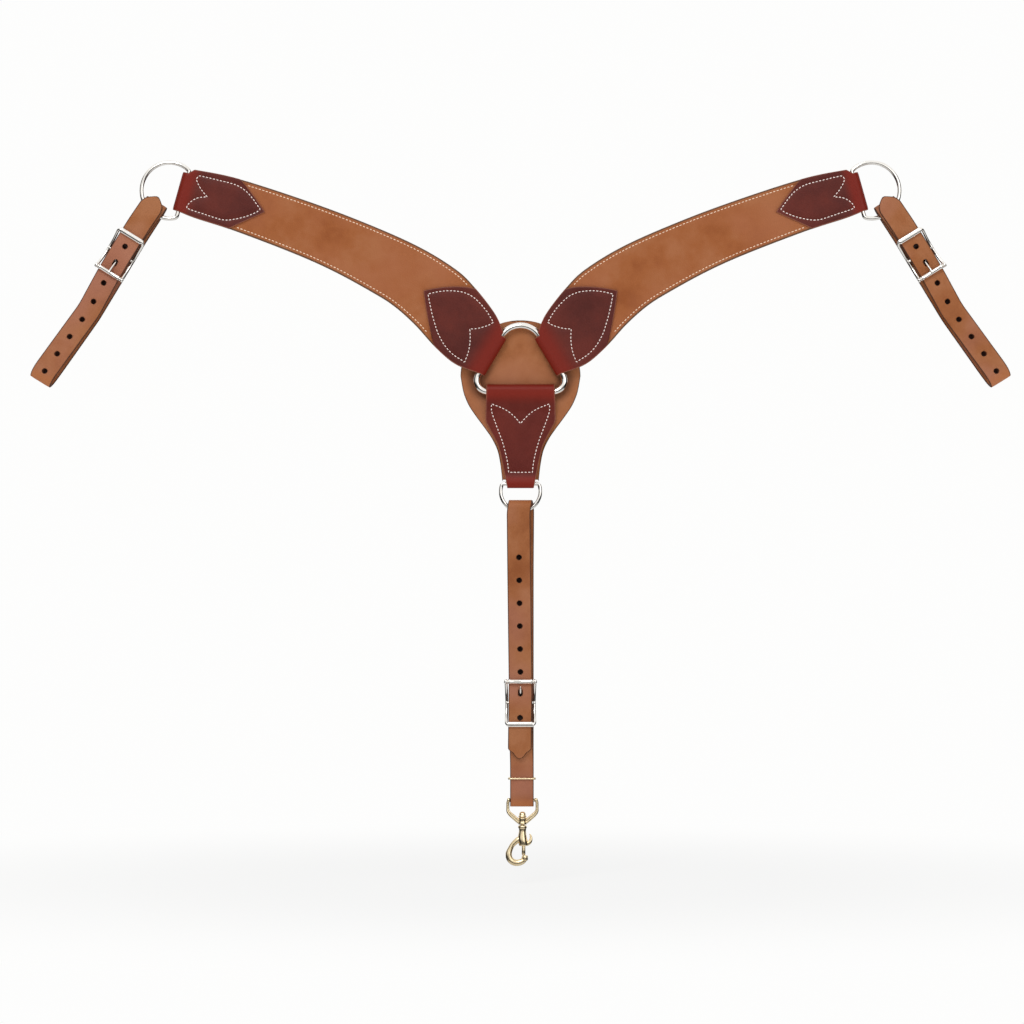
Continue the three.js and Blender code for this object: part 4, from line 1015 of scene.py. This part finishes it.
def arm_layer(facing, depth):
    """One leather of the arm: `facing` is -1 for the front and 1 for the lining, and `depth` its grooves'."""
    flat, inside = arm_net()
    x, z = flat[..., 0], flat[..., 1]
    middle = np.stack([x, np.full(x.shape, facing * ARM_LAYER_Y), z], -1)
    normals = np.zeros_like(middle)
    normals[..., 1] = facing
    seam_reach = smooth(x, -318, -306) * smooth(-x, 50, 58)
    relief = groove(inside - EDGE_SEAM_INSET, depth, 0.75) * seam_reach + 0.18 * smooth(inside, 5, 14)
    band = 0.85 * (1 - smooth(inside, 0.9, 2.1))
    return sheet(middle, normals, ARM_LAYER_HALF, 0.85, relief.ravel(), band=band.ravel())


# ---- chapes

RING_SEAM = chain(
    spline([
        (-99.8, 70.7), (-88, 73.3), (-76.8, 74.2), (-65, 73.2), (-56.2, 70.4), (-49.1, 65.8), (-40.4, 57),
        (-34.5, 49), (-29.3, 40.1)]),
    spline([(-29.3, 40.1), (-35, 36.9), (-42, 34.6), (-48.5, 33.3), (-54.7, 33)]),
    spline([(-54.7, 33), (-54.3, 24), (-55, 14.5), (-57.3, 5), (-60.5, -2.4)]),
    spline([
        (-60.5, -2.4), (-72.1, 4.9), (-79.3, 12), (-84.8, 19.8), (-89.5, 29.5), (-92.9, 40.1), (-95.6, 50),
        (-97.8, 60.2), (-99.8, 70.7)]),
)
DEE_SEAM = chain(
    spline([
        (-349.8, 194.3), (-347.3, 197.7), (-342.6, 197.4), (-325.7, 193.4), (-310, 189.4), (-301.7, 185.6),
        (-295.1, 180.6), (-289.3, 174), (-285.1, 168.2), (-281.2, 162.4)]),
    spline([
        (-281.2, 162.4), (-284.5, 159.2), (-294.3, 155), (-302.5, 152.6), (-314, 150.6), (-322.4, 150.9),
        (-331.4, 153.5), (-343, 157.4), (-352.9, 160.6), (-360.2, 163.4)]),
    spline([(-360.2, 163.4), (-359, 166.8), (-354.6, 171.1), (-348, 174.4), (-338, 175.6)]),
    spline([(-338, 175.6), (-343, 181.4), (-347.1, 188), (-349.8, 194.3)]),
)


def snapped(shares, corner):
    """Moves the nearest share onto a corner's share."""
    shares = shares.copy()
    shares[np.abs(shares - corner).argmin()] = corner
    return shares


def coons(first, last, start, end):
    """Patch between rows `first` and `last` and the columns `start` and `end`."""
    u = np.linspace(0, 1, len(start))[:, None, None]
    v = np.linspace(0, 1, len(first))[None, :, None]
    ruled = (1 - u) * first[None] + u * last[None] + (1 - v) * start[:, None] + v * end[:, None]
    near = (1 - u) * first[0] + u * last[0]
    far = (1 - u) * first[-1] + u * last[-1]
    return ruled - (1 - v) * near - v * far


def relaxed(flat, turns=60):
    """Evens out the inside of a patch."""
    for _ in range(turns):
        flat[1:-1, 1:-1] = (flat[:-2, 1:-1] + flat[2:, 1:-1] + flat[1:-1, :-2] + flat[1:-1, 2:]) / 4
    return flat


def chape(flat, outward, seam, painted_light_reach):
    """Folded chape: `flat` runs from the fold line (row 0) to the tip; it goes round the bar and back."""
    rows, columns, _ = flat.shape
    turn = np.radians(np.linspace(0, 180, 25)[1:-1])[:, None, None]
    round_bar = (len(turn), columns)
    xz = np.concatenate([flat[::-1], flat[0][None] + CHAPE_MIDDLE * np.sin(turn) * outward, flat])
    front, back = np.full((rows, columns), -1.0), np.ones((rows, columns))
    facing = np.concatenate([front, np.broadcast_to(-np.cos(turn[..., 0]), round_bar), back])
    middle = np.stack([xz[..., 0], CHAPE_MIDDLE * facing, xz[..., 1]], -1)
    normals = np.stack([0 * facing, facing, 0 * facing], -1)
    normals[rows:-rows, :, ::2] = np.sin(turn) * outward
    away = (flat - flat[0][:1]) @ -outward
    away = np.concatenate([away[::-1], np.zeros(round_bar), away]).ravel()
    near = from_line(xz.reshape(-1, 2), seam)
    lies_flat = np.abs(facing).ravel() > 0.99
    relief = np.where(lies_flat, groove(near) + CHAPE_PUFF * smooth(near, 1, 7), CHAPE_PUFF)
    edge = np.minimum(np.arange(columns), np.arange(columns)[::-1])
    relief *= np.tile(smooth(edge, 0.4, 3), len(middle))
    # Painted highlight along the fold round the bar, fading out further from it.
    return sheet(middle, normals, LATIGO_HALF, 0.7, relief, 1 - smooth(away, 3.5, painted_light_reach))


def arm_edge(edge, low, high, origin, outward, clear):
    """The part of an arm's edge that lies between two places and `clear` of a fold line."""
    return beyond(edge[(edge[:, 0] >= low) & (edge[:, 0] <= high)], origin, outward, clear)


def ring_chape():
    fold_bottom = RING_FOLD_TOP + RING_ALONG * RING_FOLD_LENGTH
    bar = (RING_FOLD_TOP, RING_OUTWARD, 0.5)
    corner, tip, low_corner = (-50.0, 76.6), (-104.8, 74.4), (-94.7, 19.2)
    upper = chain(RING_FOLD_TOP, arm_edge(UPPER_EDGE, -49, 0, *bar), corner)
    top = bezier(corner, (-58, 79.6), (-80, 80.5), tip)
    far = bezier(low_corner, (-101.6, 47), tip)
    lower = chain(fold_bottom, arm_edge(LOWER_EDGE, -93.7, -40, *bar), low_corner)
    side = chain(upper, top)
    corner_share = distances(upper)[-1] / distances(side)[-1]
    shares = snapped(spaced(95, 1.5, 1.05), corner_share)
    across = spaced(RING_FOLD_LENGTH, 1.5, 1.0)
    first = resampled(np.array([RING_FOLD_TOP, fold_bottom]), across)
    patch = coons(first, resampled(far[::-1], across), resampled(side, shares), resampled(lower, shares))
    return chape(relaxed(patch), -RING_OUTWARD, RING_SEAM, 22)


def dee_chape():
    fold_top = DEE_FOLD_BOTTOM + DEE_ALONG * DEE_FOLD_LENGTH
    bar = (DEE_FOLD_BOTTOM, DEE_TO_BAR, 1)
    top_corner, point, low_corner = (-301.6, 193.9), (-275.6, 159.2), (-315, 141.2)
    upper = chain(fold_top, arm_edge(UPPER_EDGE, -400, -302.5, *bar)[::-1], top_corner)
    lower = chain(DEE_FOLD_BOTTOM, arm_edge(LOWER_EDGE, -400, -316, *bar)[::-1], low_corner)
    to_point = bezier(top_corner, (-288.3, 178.5), point)
    tip = chain(to_point, bezier(point, (-290, 152.4), (-300, 148.4), low_corner))
    across = snapped(spaced(50, 1.5, 1.0), distances(to_point)[-1] / distances(tip)[-1])
    shares = spaced(60, 1.5, 1.0)
    first = resampled(np.array([fold_top, DEE_FOLD_BOTTOM]), across)
    patch = coons(first, resampled(tip, across), resampled(upper, shares), resampled(lower, shares))
    return chape(relaxed(patch), -DEE_TO_BAR, DEE_SEAM, 15)


# ---- buckle, drawn round its centre bar


def rounded_box(x, z, fillet):
    """Outline of a rectangle with rounded corners, by the place of its corner centres."""
    corners = ((x, z, 0), (-x, z, 90), (-x, -z, 180), (x, -z, 270))
    return chain(*[arc((cx, cz), fillet, start, start + 90, 8) for cx, cz, start in corners])


def buckle_frame():
    box = rounded_box(BUCKLE_HALF_WIDTH - BUCKLE_FILLET, BUCKLE_HALF_HEIGHT - BUCKLE_FILLET, BUCKLE_FILLET)
    x, z = closed_outline(box, 0.9).T
    share = (z / BUCKLE_HALF_HEIGHT) ** 2
    ends = np.where(z > 0, BUCKLE_KEEPER_Y, BUCKLE_ROLLER_Y)
    width = 1 - (BUCKLE_WAIST / BUCKLE_HALF_WIDTH) * (1 - share)
    loop = np.stack([x * width, BAR_Y + (ends - BAR_Y) * share, z], -1)
    flattened = smooth(z, 0.72 * BUCKLE_HALF_HEIGHT, BUCKLE_HALF_HEIGHT) * smooth(13.5 - np.abs(x), -1.5, 1.5)
    tall = BUCKLE_WIRE * (1 + 0.85 * flattened)
    reach = BUCKLE_HALF_WIDTH - BUCKLE_WAIST
    boss = [(0, -0.9), (1.9, -0.9), (2.25, -0.5), (2.25, 0.5), (1.9, 0.9), (0, 0.9)]
    knob = [(0, -0.8), (2.0, -0.8), (2.35, -0.3), (2.35, 0.4), (1.8, 0.8), (0, 0.8)]
    end = [(0, -1.9), (1.5, -1.8), (2.3, -1.1), (2.6, 0), (2.3, 1.1), (1.5, 1.8), (0, 1.9)]
    return [
        sweep(loop, tall, True, flat=BUCKLE_WIRE / tall),
        rounded_rod(reach, BAR_Y, BUCKLE_WIRE, 0.3),
        *pair(boss, reach + 0.1, BAR_Y, 0),
        *pair(knob, 13.6, BUCKLE_ROLLER_Y, -BUCKLE_HALF_HEIGHT),
        *pair(end, 15.9, BUCKLE_ROLLER_Y, -BUCKLE_HALF_HEIGHT),
    ]


def buckle_roller():
    inner, outer, half = 1.85, 2.75, 12.2
    end = [
        (inner, -half), (outer - 0.35, -half), (outer - 0.1, -half + 0.1), (outer, -half + 0.4),
        (outer, -half + 1.6), (outer - 0.12, -half + 1.9),
    ]
    profile = [*end, *[(radius, -height) for radius, height in reversed(end)], end[0]]
    return [turned(profile, 32, (0, BUCKLE_ROLLER_Y, -BUCKLE_HALF_HEIGHT), "x")]


def buckle_tongue(length):
    inner, outer, half = 1.95, 3.1, 1.5
    below = [(inner, -half + 0.3), (inner + 0.3, -half), (outer - 0.4, -half), (outer, -half + 0.4)]
    eye = [*below, *[(radius, -height) for radius, height in reversed(below)], below[0]]
    reach = np.array([2.4, 5, 9, length - 8, length - 4, length - 2, length - 1, length - 0.4, length - 0.1])
    radius = np.array([1.45, 1.35, 1.25, 1.25, 1.22, 1.1, 0.88, 0.55, 0.15])
    along = np.array([0, -math.sin(TONGUE_ANGLE), -math.cos(TONGUE_ANGLE)])
    shank = sweep(reach[:, None] * along, radius, False, 18, (1, 0, 0))
    return [Body(part.points + (0, BAR_Y, 0), part.faces) for part in (turned(eye, 28, axis="x"), shank)]


def moved_all(parts, place):
    return [part.moved(place) for part in parts]


# ---- tug

TUG_SWAY = (
    (0, 2.2), (12, 1.2), (35, 0.2), (50, 0), (99, 0), (144, 2.8), (212, -2), (226, -3), (254, -1), (334, 4),
    (434, 3), (459, 3.5), (489, 3.5), (519, 1), (531, 0), (604, 0),
)


def tug_run():
    """Billet over the buckle, down the front, up the back, over the dee, round the bar and its tail."""
    return Run(chain(
        (BILLET_Y, 16.5), (BILLET_Y, -58),
        bezier((BILLET_Y, -58), (BILLET_Y, -66), (PASS_Y, -72), (PASS_Y, -80.5)),
        spline([(PASS_Y, -80.5), (-8, -130), (-12.4, -203.4)]), arc((-3.4, -209.4), 9, 180, 360),
        arc((0, 4.5), HANG_RADIUS, 0, 180), arc((BAR_Y, TUG_BUCKLE_Z), BAR_FOLD, 180, 360),
        bezier((BAR_BACK_Y, TUG_BUCKLE_Z), (BAR_BACK_Y, -52), (TAIL_Y, -50), (TAIL_Y, -45)), (TAIL_Y, -34),
    ), TUG_SWAY)


def tug_strap():
    run = tug_run()
    tip = np.array([
        (0, 1.2), (0.4, 2.1), (1.5, 3.7), (4, 7), (6, 9.5), (7, 10.3), (9.5, 11.4), (12, 12.3),
        (13.3, STRAP_WIDTH)])

    def width_at(s):
        near_loop = 0.35 * np.exp(-(((s - run.crossings(-212)[0] - 14) / 14) ** 2))
        return np.interp(s, *tip.T) - near_loop

    heights = [-47.7 - 22.8 * k for k in range(8) if k != 1]
    openings = strap_openings(run, TUG_BUCKLE_Z, 1, heights)
    # Painted highlight on the turn at the strap's lower end.
    return [strap_body(run, openings, width_at, lambda z: 0.8 * smooth(-z, 206, 217))]


def fold_seam(low, high):
    """Box stitched through the tail that a strap turns back behind its buckle."""
    face = TAIL_Y + STRAP_HALF + 0.08
    box = np.array([(-8, low), (8, low), (8, high), (-8, high), (-8, low)], float)
    return [stitches(box, lambda flat: np.full(len(flat), face), 1, 3.6, 2.6, 0.42)]


def in_tug(points):
    hang = DEE_CENTRE + DEE_RADIUS * np.array([math.cos(TUG_HANG), math.sin(TUG_HANG)])
    c, s = math.cos(TUG_TILT), math.sin(TUG_TILT)
    x, y, z = points.T
    return np.stack([x * c + z * s + hang[0], y, -x * s + z * c + hang[1]], -1)


def in_tug_buckle(points):
    return in_tug(points + (0, 0, TUG_BUCKLE_Z))


# ---- one side of the collar


def both_faces(line, level, **options):
    """Stitches on the front and the back of a leather whose faces lie `level` from the middle."""
    return [stitches(line, lambda flat: np.full(len(flat), out * level), out, **options) for out in (-1, 1)]


def side(name, mirrored):
    arm, dee, tug = f"{name}_arm", f"{name}_dee", f"{name}_tug"

    def add(node, body, slot, parts):
        return piece(f"{name}_{node}", body, slot, *parts, mirrored=mirrored)

    add("arm_front", arm, "harness_leather", [arm_layer(-1, GROOVE)])
    add("arm_lining", arm, "lining_leather", [arm_layer(1, 0.3)])
    add("arm_upper_seam", arm, "edge_thread", both_faces(UPPER_SEAM, ARM_HALF - ARM_SEAM_SINK, pitch=4.0))
    add("arm_lower_seam", arm, "edge_thread", both_faces(LOWER_SEAM, ARM_HALF - ARM_SEAM_SINK, pitch=4.0))
    add("ring_chape", arm, "oxblood_latigo", [ring_chape()])
    add("dee_chape", arm, "oxblood_latigo", [dee_chape()])
    level = CHAPE_MIDDLE + LATIGO_HALF - SEAM_DEPTH
    add("ring_chape_seam", arm, "chape_thread", both_faces(RING_SEAM, level))
    add("dee_chape_seam", arm, "chape_thread", both_faces(DEE_SEAM, level))
    outline = dee_outline(DEE_CENTRE, DEE_TO_BAR, DEE_RADIUS, DEE_BAR, DEE_FILLET)
    add("dee", dee, "nickel", [wire_loop(outline, DEE_WIRE, 1.3)])
    add("tug_strap", tug, "strap_leather", moved_all(tug_strap(), in_tug))
    add("tug_fold_seam", tug, "edge_thread", moved_all(fold_seam(-44, -36), in_tug))
    add("buckle_frame", tug, "nickel", moved_all(buckle_frame(), in_tug_buckle))
    add("buckle_tongue", f"{name}_tongue", "nickel", moved_all(buckle_tongue(27), in_tug_buckle))
    add("buckle_roller", f"{name}_roller", "nickel", moved_all(buckle_roller(), in_tug_buckle))


side("left", False)
side("right", True)

# ---- tie-down

TIE_SWAY = (
    (0, -1), (61, -0.3), (84, 0), (200, -1.5), (268, -2.2), (292, 2), (360, 1.5), (662, 1.5), (700, 0.5),
    (729, 0), (800, 0),
)


def tie_run():
    """Billet over the buckle, up the front, over the dee, down the back, round the eye and round the bar."""
    roller_z = TIE_BUCKLE_Z + BUCKLE_HALF_HEIGHT
    sewn, eye = 1.75, 3.9
    return Run(chain(
        bezier((-6.6, -430.8), (BILLET_Y, -420), (BILLET_Y, -408)),
        bezier((BILLET_Y, TIE_BUCKLE_Z + 0.5), (BILLET_Y, -361.8), (PASS_Y, -355.8), (PASS_Y, roller_z)),
        spline([(PASS_Y, roller_z), (-7, -260), (-HANG_RADIUS, TIE_TOP_Z - 6)]),
        arc((0, TIE_TOP_Z), HANG_RADIUS, 180, 0), (HANG_RADIUS, -412),
        bezier((HANG_RADIUS, -412), (HANG_RADIUS, -425), (sewn, -425), (sewn, -436)), (sewn, -463),
        bezier((sewn, -463), (sewn, -469), (eye, -469), (eye, EYE_Z)), arc((0, TIE_FOLD_Z), eye, 0, -180),
        bezier((-eye, EYE_Z), (-eye, -469), (-sewn, -469), (-sewn, -463)), (-sewn, -436),
        bezier((-sewn, -436), (-sewn, -425), (-HANG_RADIUS, -425), (-HANG_RADIUS, -412)),
        (-HANG_RADIUS, TIE_BUCKLE_Z), arc((BAR_Y, TIE_BUCKLE_Z), BAR_FOLD, 180, 0),
        bezier((BAR_BACK_Y, TIE_BUCKLE_Z), (BAR_BACK_Y, -376), (TAIL_Y, -378), (TAIL_Y, -383)),
        (TAIL_Y, -394),
    ), TIE_SWAY)


def tie_strap():
    run = tie_run()
    tip = np.array([
        (0, 0.9), (0.4, 1.7), (1.2, 2.8), (3, 4.8), (5, 6.3), (6.8, 7.4), (7.8, 8.6), (8.6, 10.2),
        (9.4, 11.3), (11.3, STRAP_WIDTH)])

    def painted_light(z):
        # Painted highlight where the strap turns over the dee and round the eye.
        return 0.6 * np.maximum(smooth(z, -160, -154), smooth(-z, 472, 480))

    heights = [-213.4 - 24.7 * k for k in range(8) if k != 6]
    openings = strap_openings(run, TIE_BUCKLE_Z, -1, heights)
    return strap_body(run, openings, lambda s: np.interp(s, *tip.T), painted_light)


def in_tie_buckle(points):
    return points * (-1, 1, -1) + (0, 0, TIE_BUCKLE_Z)


piece("tie_down_strap", "tie_down", "strap_leather", tie_strap())
piece("tie_down_fold_seam", "tie_down", "edge_thread", *fold_seam(-392, -384.5))
piece("tie_down_buckle_frame", "tie_down", "nickel", *moved_all(buckle_frame(), in_tie_buckle))
piece("tie_down_buckle_tongue", "tie_down_tongue", "nickel", *moved_all(buckle_tongue(20), in_tie_buckle))
piece("tie_down_buckle_roller", "tie_down_roller", "nickel", *moved_all(buckle_roller(), in_tie_buckle))

# ---- keeper and swivel snap


def strap_keeper():
    x, y = closed_outline(rounded_box(12.0, 2.85, 2.0), 0.8).T
    loop = np.stack([x + KEEPER_X, y, np.full(len(x), KEEPER_Z)], -1)
    return sweep(loop, 1.1, True, 16, (0, 0, 1))


def limb(rows, step=0.8, **options):
    """Solid of round sections along a curve through rows of x, z and radius."""
    rows = evenly(spline(rows, 10), step)
    return sweep(in_plane(rows[:, :2]), rows[:, 2], False, **options)


def snap_eye():
    x, fillet = 15.8, 3
    shoulder = arc((x - fillet, EYE_Z - fillet), fillet, 90, 0, 8)
    flank = chain(bezier((x, -485.5), (x, -488.5), (13.5, -490.5), (11.5, -492.3), steps=14), (4, -498.8))
    outline = chain(shoulder[::-1] * (-1, 1), shoulder, flank, flank[::-1] * (-1, 1))
    flat = closed_outline(outline, 0.8)
    run = unit(np.roll(flat, -1, 0) - np.roll(flat, 1, 0))
    outward = np.stack([-run[:, 1], run[:, 0]], -1)
    stout = smooth(-flat[:, 1], 484, 494)
    rails = [
        sweep(in_plane(flat + side * (0.62 + 0.5 * stout)[:, None] * outward), 1.05 + 0.35 * stout, True, 18)
        for side in (-1, 1)
    ]
    web = sweep(in_plane(flat), 0.9 + 0.4 * stout, True, 12)
    lug = [(0, -1.9), (1.6, -1.7), (2.2, -0.9), (2.2, 0.9), (1.6, 1.7), (0, 1.9)]
    collar = turned([
        (2.4, -3.8), (3.9, -3.8), (4.5, -3.3), (4.6, -2.4), (4.15, -1.4), (3.9, 0), (4.1, 1.6), (4.6, 2.7),
        (4.4, 3.4), (3.8, 3.8), (2.4, 3.8), (2.4, -3.8),
    ], 32, (0, 0, -498.3))
    return [*rails, web, *pair(lug, 14.7, 0, EYE_Z - 0.2), collar]


def snap_hook():
    rivet = turned([
        (2.1, -503.2), (2.1, -494.2), (3.9, -494.2), (4.3, -493.8), (4.3, -492.9), (3.9, -492.4),
        (3.6, -491.9), (3.6, -490.8), (3.2, -489.5), (2.3, -488.5), (1.1, -488.05), (0, -488),
    ])
    barrel = stacked([
        (0, -502.9, 2.3), (0, -502.9, 3.9), (0, -503.3, 4.5), (0, -504.4, 4.75), (0.05, -505.4, 4.6),
        (0.1, -506.2, 4.1), (0.1, -507.2, 3.8), (0, -510, 3.9), (-0.2, -513, 4.4), (-0.1, -516.5, 5.0),
        (0.5, -520, 5.1), (1, -523.4, 4.9), (1, -524.6, 4.5), (1, -525, 3.9), (1.2, -525, 2.3),
        (1.2, -524.6, 2.2), (1.2, -507, 2.2),
    ])
    arm = limb([
        (-0.6, -515.4, 2.4), (-4.4, -518.3, 3.2), (-8, -521.2, 2.9), (-11, -524.4, 2.6),
        (-13.2, -528.5, 2.8), (-14.8, -533.3, 3.4), (-13.9, -538.8, 3.5), (-10.1, -542.5, 3.5),
        (-4.6, -543.3, 3.5), (0.4, -541.4, 3.2), (2.2, -538.6, 2.9),
    ], sides=24, flat=0.9)
    tip = turned([
        (0, -541.6), (2.1, -541.4), (3.1, -540.4), (3.4, -538.8), (3.4, -536.4), (3.1, -535.6), (2.4, -535.3),
        (0, -535.3),
    ], 28, (2.6, 0, 0))
    return [rivet, barrel, arm, tip]


def snap_bolt():
    pin = turned([
        (0, -535), (1.4, -535), (1.95, -534.4), (2.0, -530), (2.0, -517), (1.6, -516.5), (0, -516.5),
    ], 28, (BOLT_X, 0, 0))
    thumb = limb([
        (2.4, -522.8, 2.0), (5.2, -522.8, 2.3), (8, -520.8, 2.1), (9.2, -517.6, 1.6), (8.9, -514.4, 1.1),
        (7.7, -512, 0.4),
    ], 0.5, sides=20, flat=0.6)
    return [pin, thumb]


def snap_spring():
    turns, per_turn, radius = 5, 32, 1.5
    turn = np.linspace(0, turns * 2 * math.pi, turns * per_turn + 1)
    height = np.linspace(SPRING_LOW, SPRING_HIGH, len(turn))
    coil = np.stack([BOLT_X + radius * np.cos(turn), radius * np.sin(turn), height], -1)
    return [sweep(coil, 0.27, False, 10, (0, 0, 1))]


def in_snap(points):
    return points + (SNAP_X, 0, 0)


piece("strap_keeper", "keeper", "brass", strap_keeper())
piece("snap_eye", "snap_eye", "brass", *moved_all(snap_eye(), in_snap))
piece("snap_hook", "snap_hook", "brass", *moved_all(snap_hook(), in_snap))
piece("snap_bolt", "snap_bolt", "brass", *moved_all(snap_bolt(), in_snap))
spring = piece("snap_spring", "snap_hook", "spring_steel", *moved_all(snap_spring(), in_snap))
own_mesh(spring)

# ---- floor, light and camera

PALE = (0.985, 0.985, 0.98, 1)


def studio_world():
    """White behind for the camera, soft grey fill, and a studio with dark gaps for the metal to mirror."""
    world = bpy.data.worlds.new("studio")
    bpy.context.scene.world = world
    world.use_nodes = True
    nodes = Nodes(world.node_tree)
    heading = nodes.add("ShaderNodeTexCoord").outputs["Generated"]
    parts = nodes.add("ShaderNodeSeparateXYZ", {"Vector": heading}).outputs
    sideways = nodes.math("ABSOLUTE", parts["X"])
    walls = nodes.ramp(sideways, [(0.0, 1.0), (0.74, 0.95), (0.86, 0.04), (0.98, 0.04)])
    behind = nodes.ramp(nodes.math("MULTIPLY_ADD", parts["Y"], 0.5, 0.5), [(0.62, 0.0), (0.76, 0.9)])
    around = nodes.mix(1.0, walls, behind, "LIGHTEN")
    height = nodes.math("MULTIPLY_ADD", parts["Z"], 0.5, 0.5)
    horizon = nodes.ramp(height, [
        (0.0, 0.75), (0.2, 0.72), (0.26, 0.08), (0.44, 0.08), (0.48, 0.95), (1.0, 1.0),
    ])
    studio = nodes.mix(1.0, around, horizon, "MULTIPLY")
    rays = nodes.add("ShaderNodeLightPath").outputs
    seen = nodes.mix(rays["Is Glossy Ray"], (0.46, 0.465, 0.47, 1), studio)
    shown = nodes.mix(rays["Is Camera Ray"], seen, PALE)
    light = nodes.add("ShaderNodeBackground", {"Color": shown, "Strength": 1.0})
    nodes.add("ShaderNodeOutputWorld", {"Surface": light.outputs["Background"]})


def floor(z):
    bpy.ops.mesh.primitive_plane_add(size=16, location=(0, 0, z))
    made = bpy.context.object
    made.name = "floor"
    made.visible_glossy = False
    surface, nodes, where = new_material("pale_floor")
    reach = nodes.add("ShaderNodeVectorMath", {0: where}, operation="LENGTH").outputs["Value"]
    fade = nodes.ramp(nodes.math("DIVIDE", reach, 2.0), [(0.1, 0.8), (0.5, 1.0)], "EASE")
    matte = nodes.add("ShaderNodeBsdfDiffuse", {"Color": PALE})
    glow = nodes.add("ShaderNodeEmission", {"Color": PALE, "Strength": 1.0})
    both = nodes.add("ShaderNodeMixShader", {0: fade, 1: matte.outputs["BSDF"], 2: glow.outputs["Emission"]})
    nodes.add("ShaderNodeOutputMaterial", {"Surface": both.outputs["Shader"]})
    made.data.materials.append(surface)


def softbox(name, place, aim, size, power):
    lamp = bpy.data.lights.new(name, "AREA")
    lamp.size = size
    lamp.energy = power
    lamp.specular_factor = 0.3
    made = bpy.data.objects.new(name, lamp)
    made.location = place
    made.rotation_euler = (Vector(aim) - Vector(place)).to_track_quat("-Z", "Y").to_euler()
    bpy.context.scene.collection.objects.link(made)


def camera():
    """Square-on from the front, with `width` metres of the collar's plane across the picture."""
    middle_x, middle_z, width, distance = -0.0092, -0.1645, 1.106, 5.0
    lens = bpy.data.cameras.new("camera")
    lens.lens = lens.sensor_width / width * distance
    lens.clip_end = 60
    made = bpy.data.objects.new("camera", lens)
    made.location = (middle_x, WIRE_Y - distance, middle_z)
    made.rotation_euler = (math.pi / 2, 0, 0)
    bpy.context.scene.collection.objects.link(made)
    bpy.context.scene.camera = made


studio_world()
floor(FIRST_BOUNDS[0].z - 0.02)
softbox("key", (-0.7, -2.7, 1.9), (0, 0, -0.1), 1.3, 35)
softbox("fill", (1.8, -2.8, 0.4), (0, 0, -0.1), 2.0, 13)
camera()
bpy.context.scene.view_settings.view_transform = "Standard"
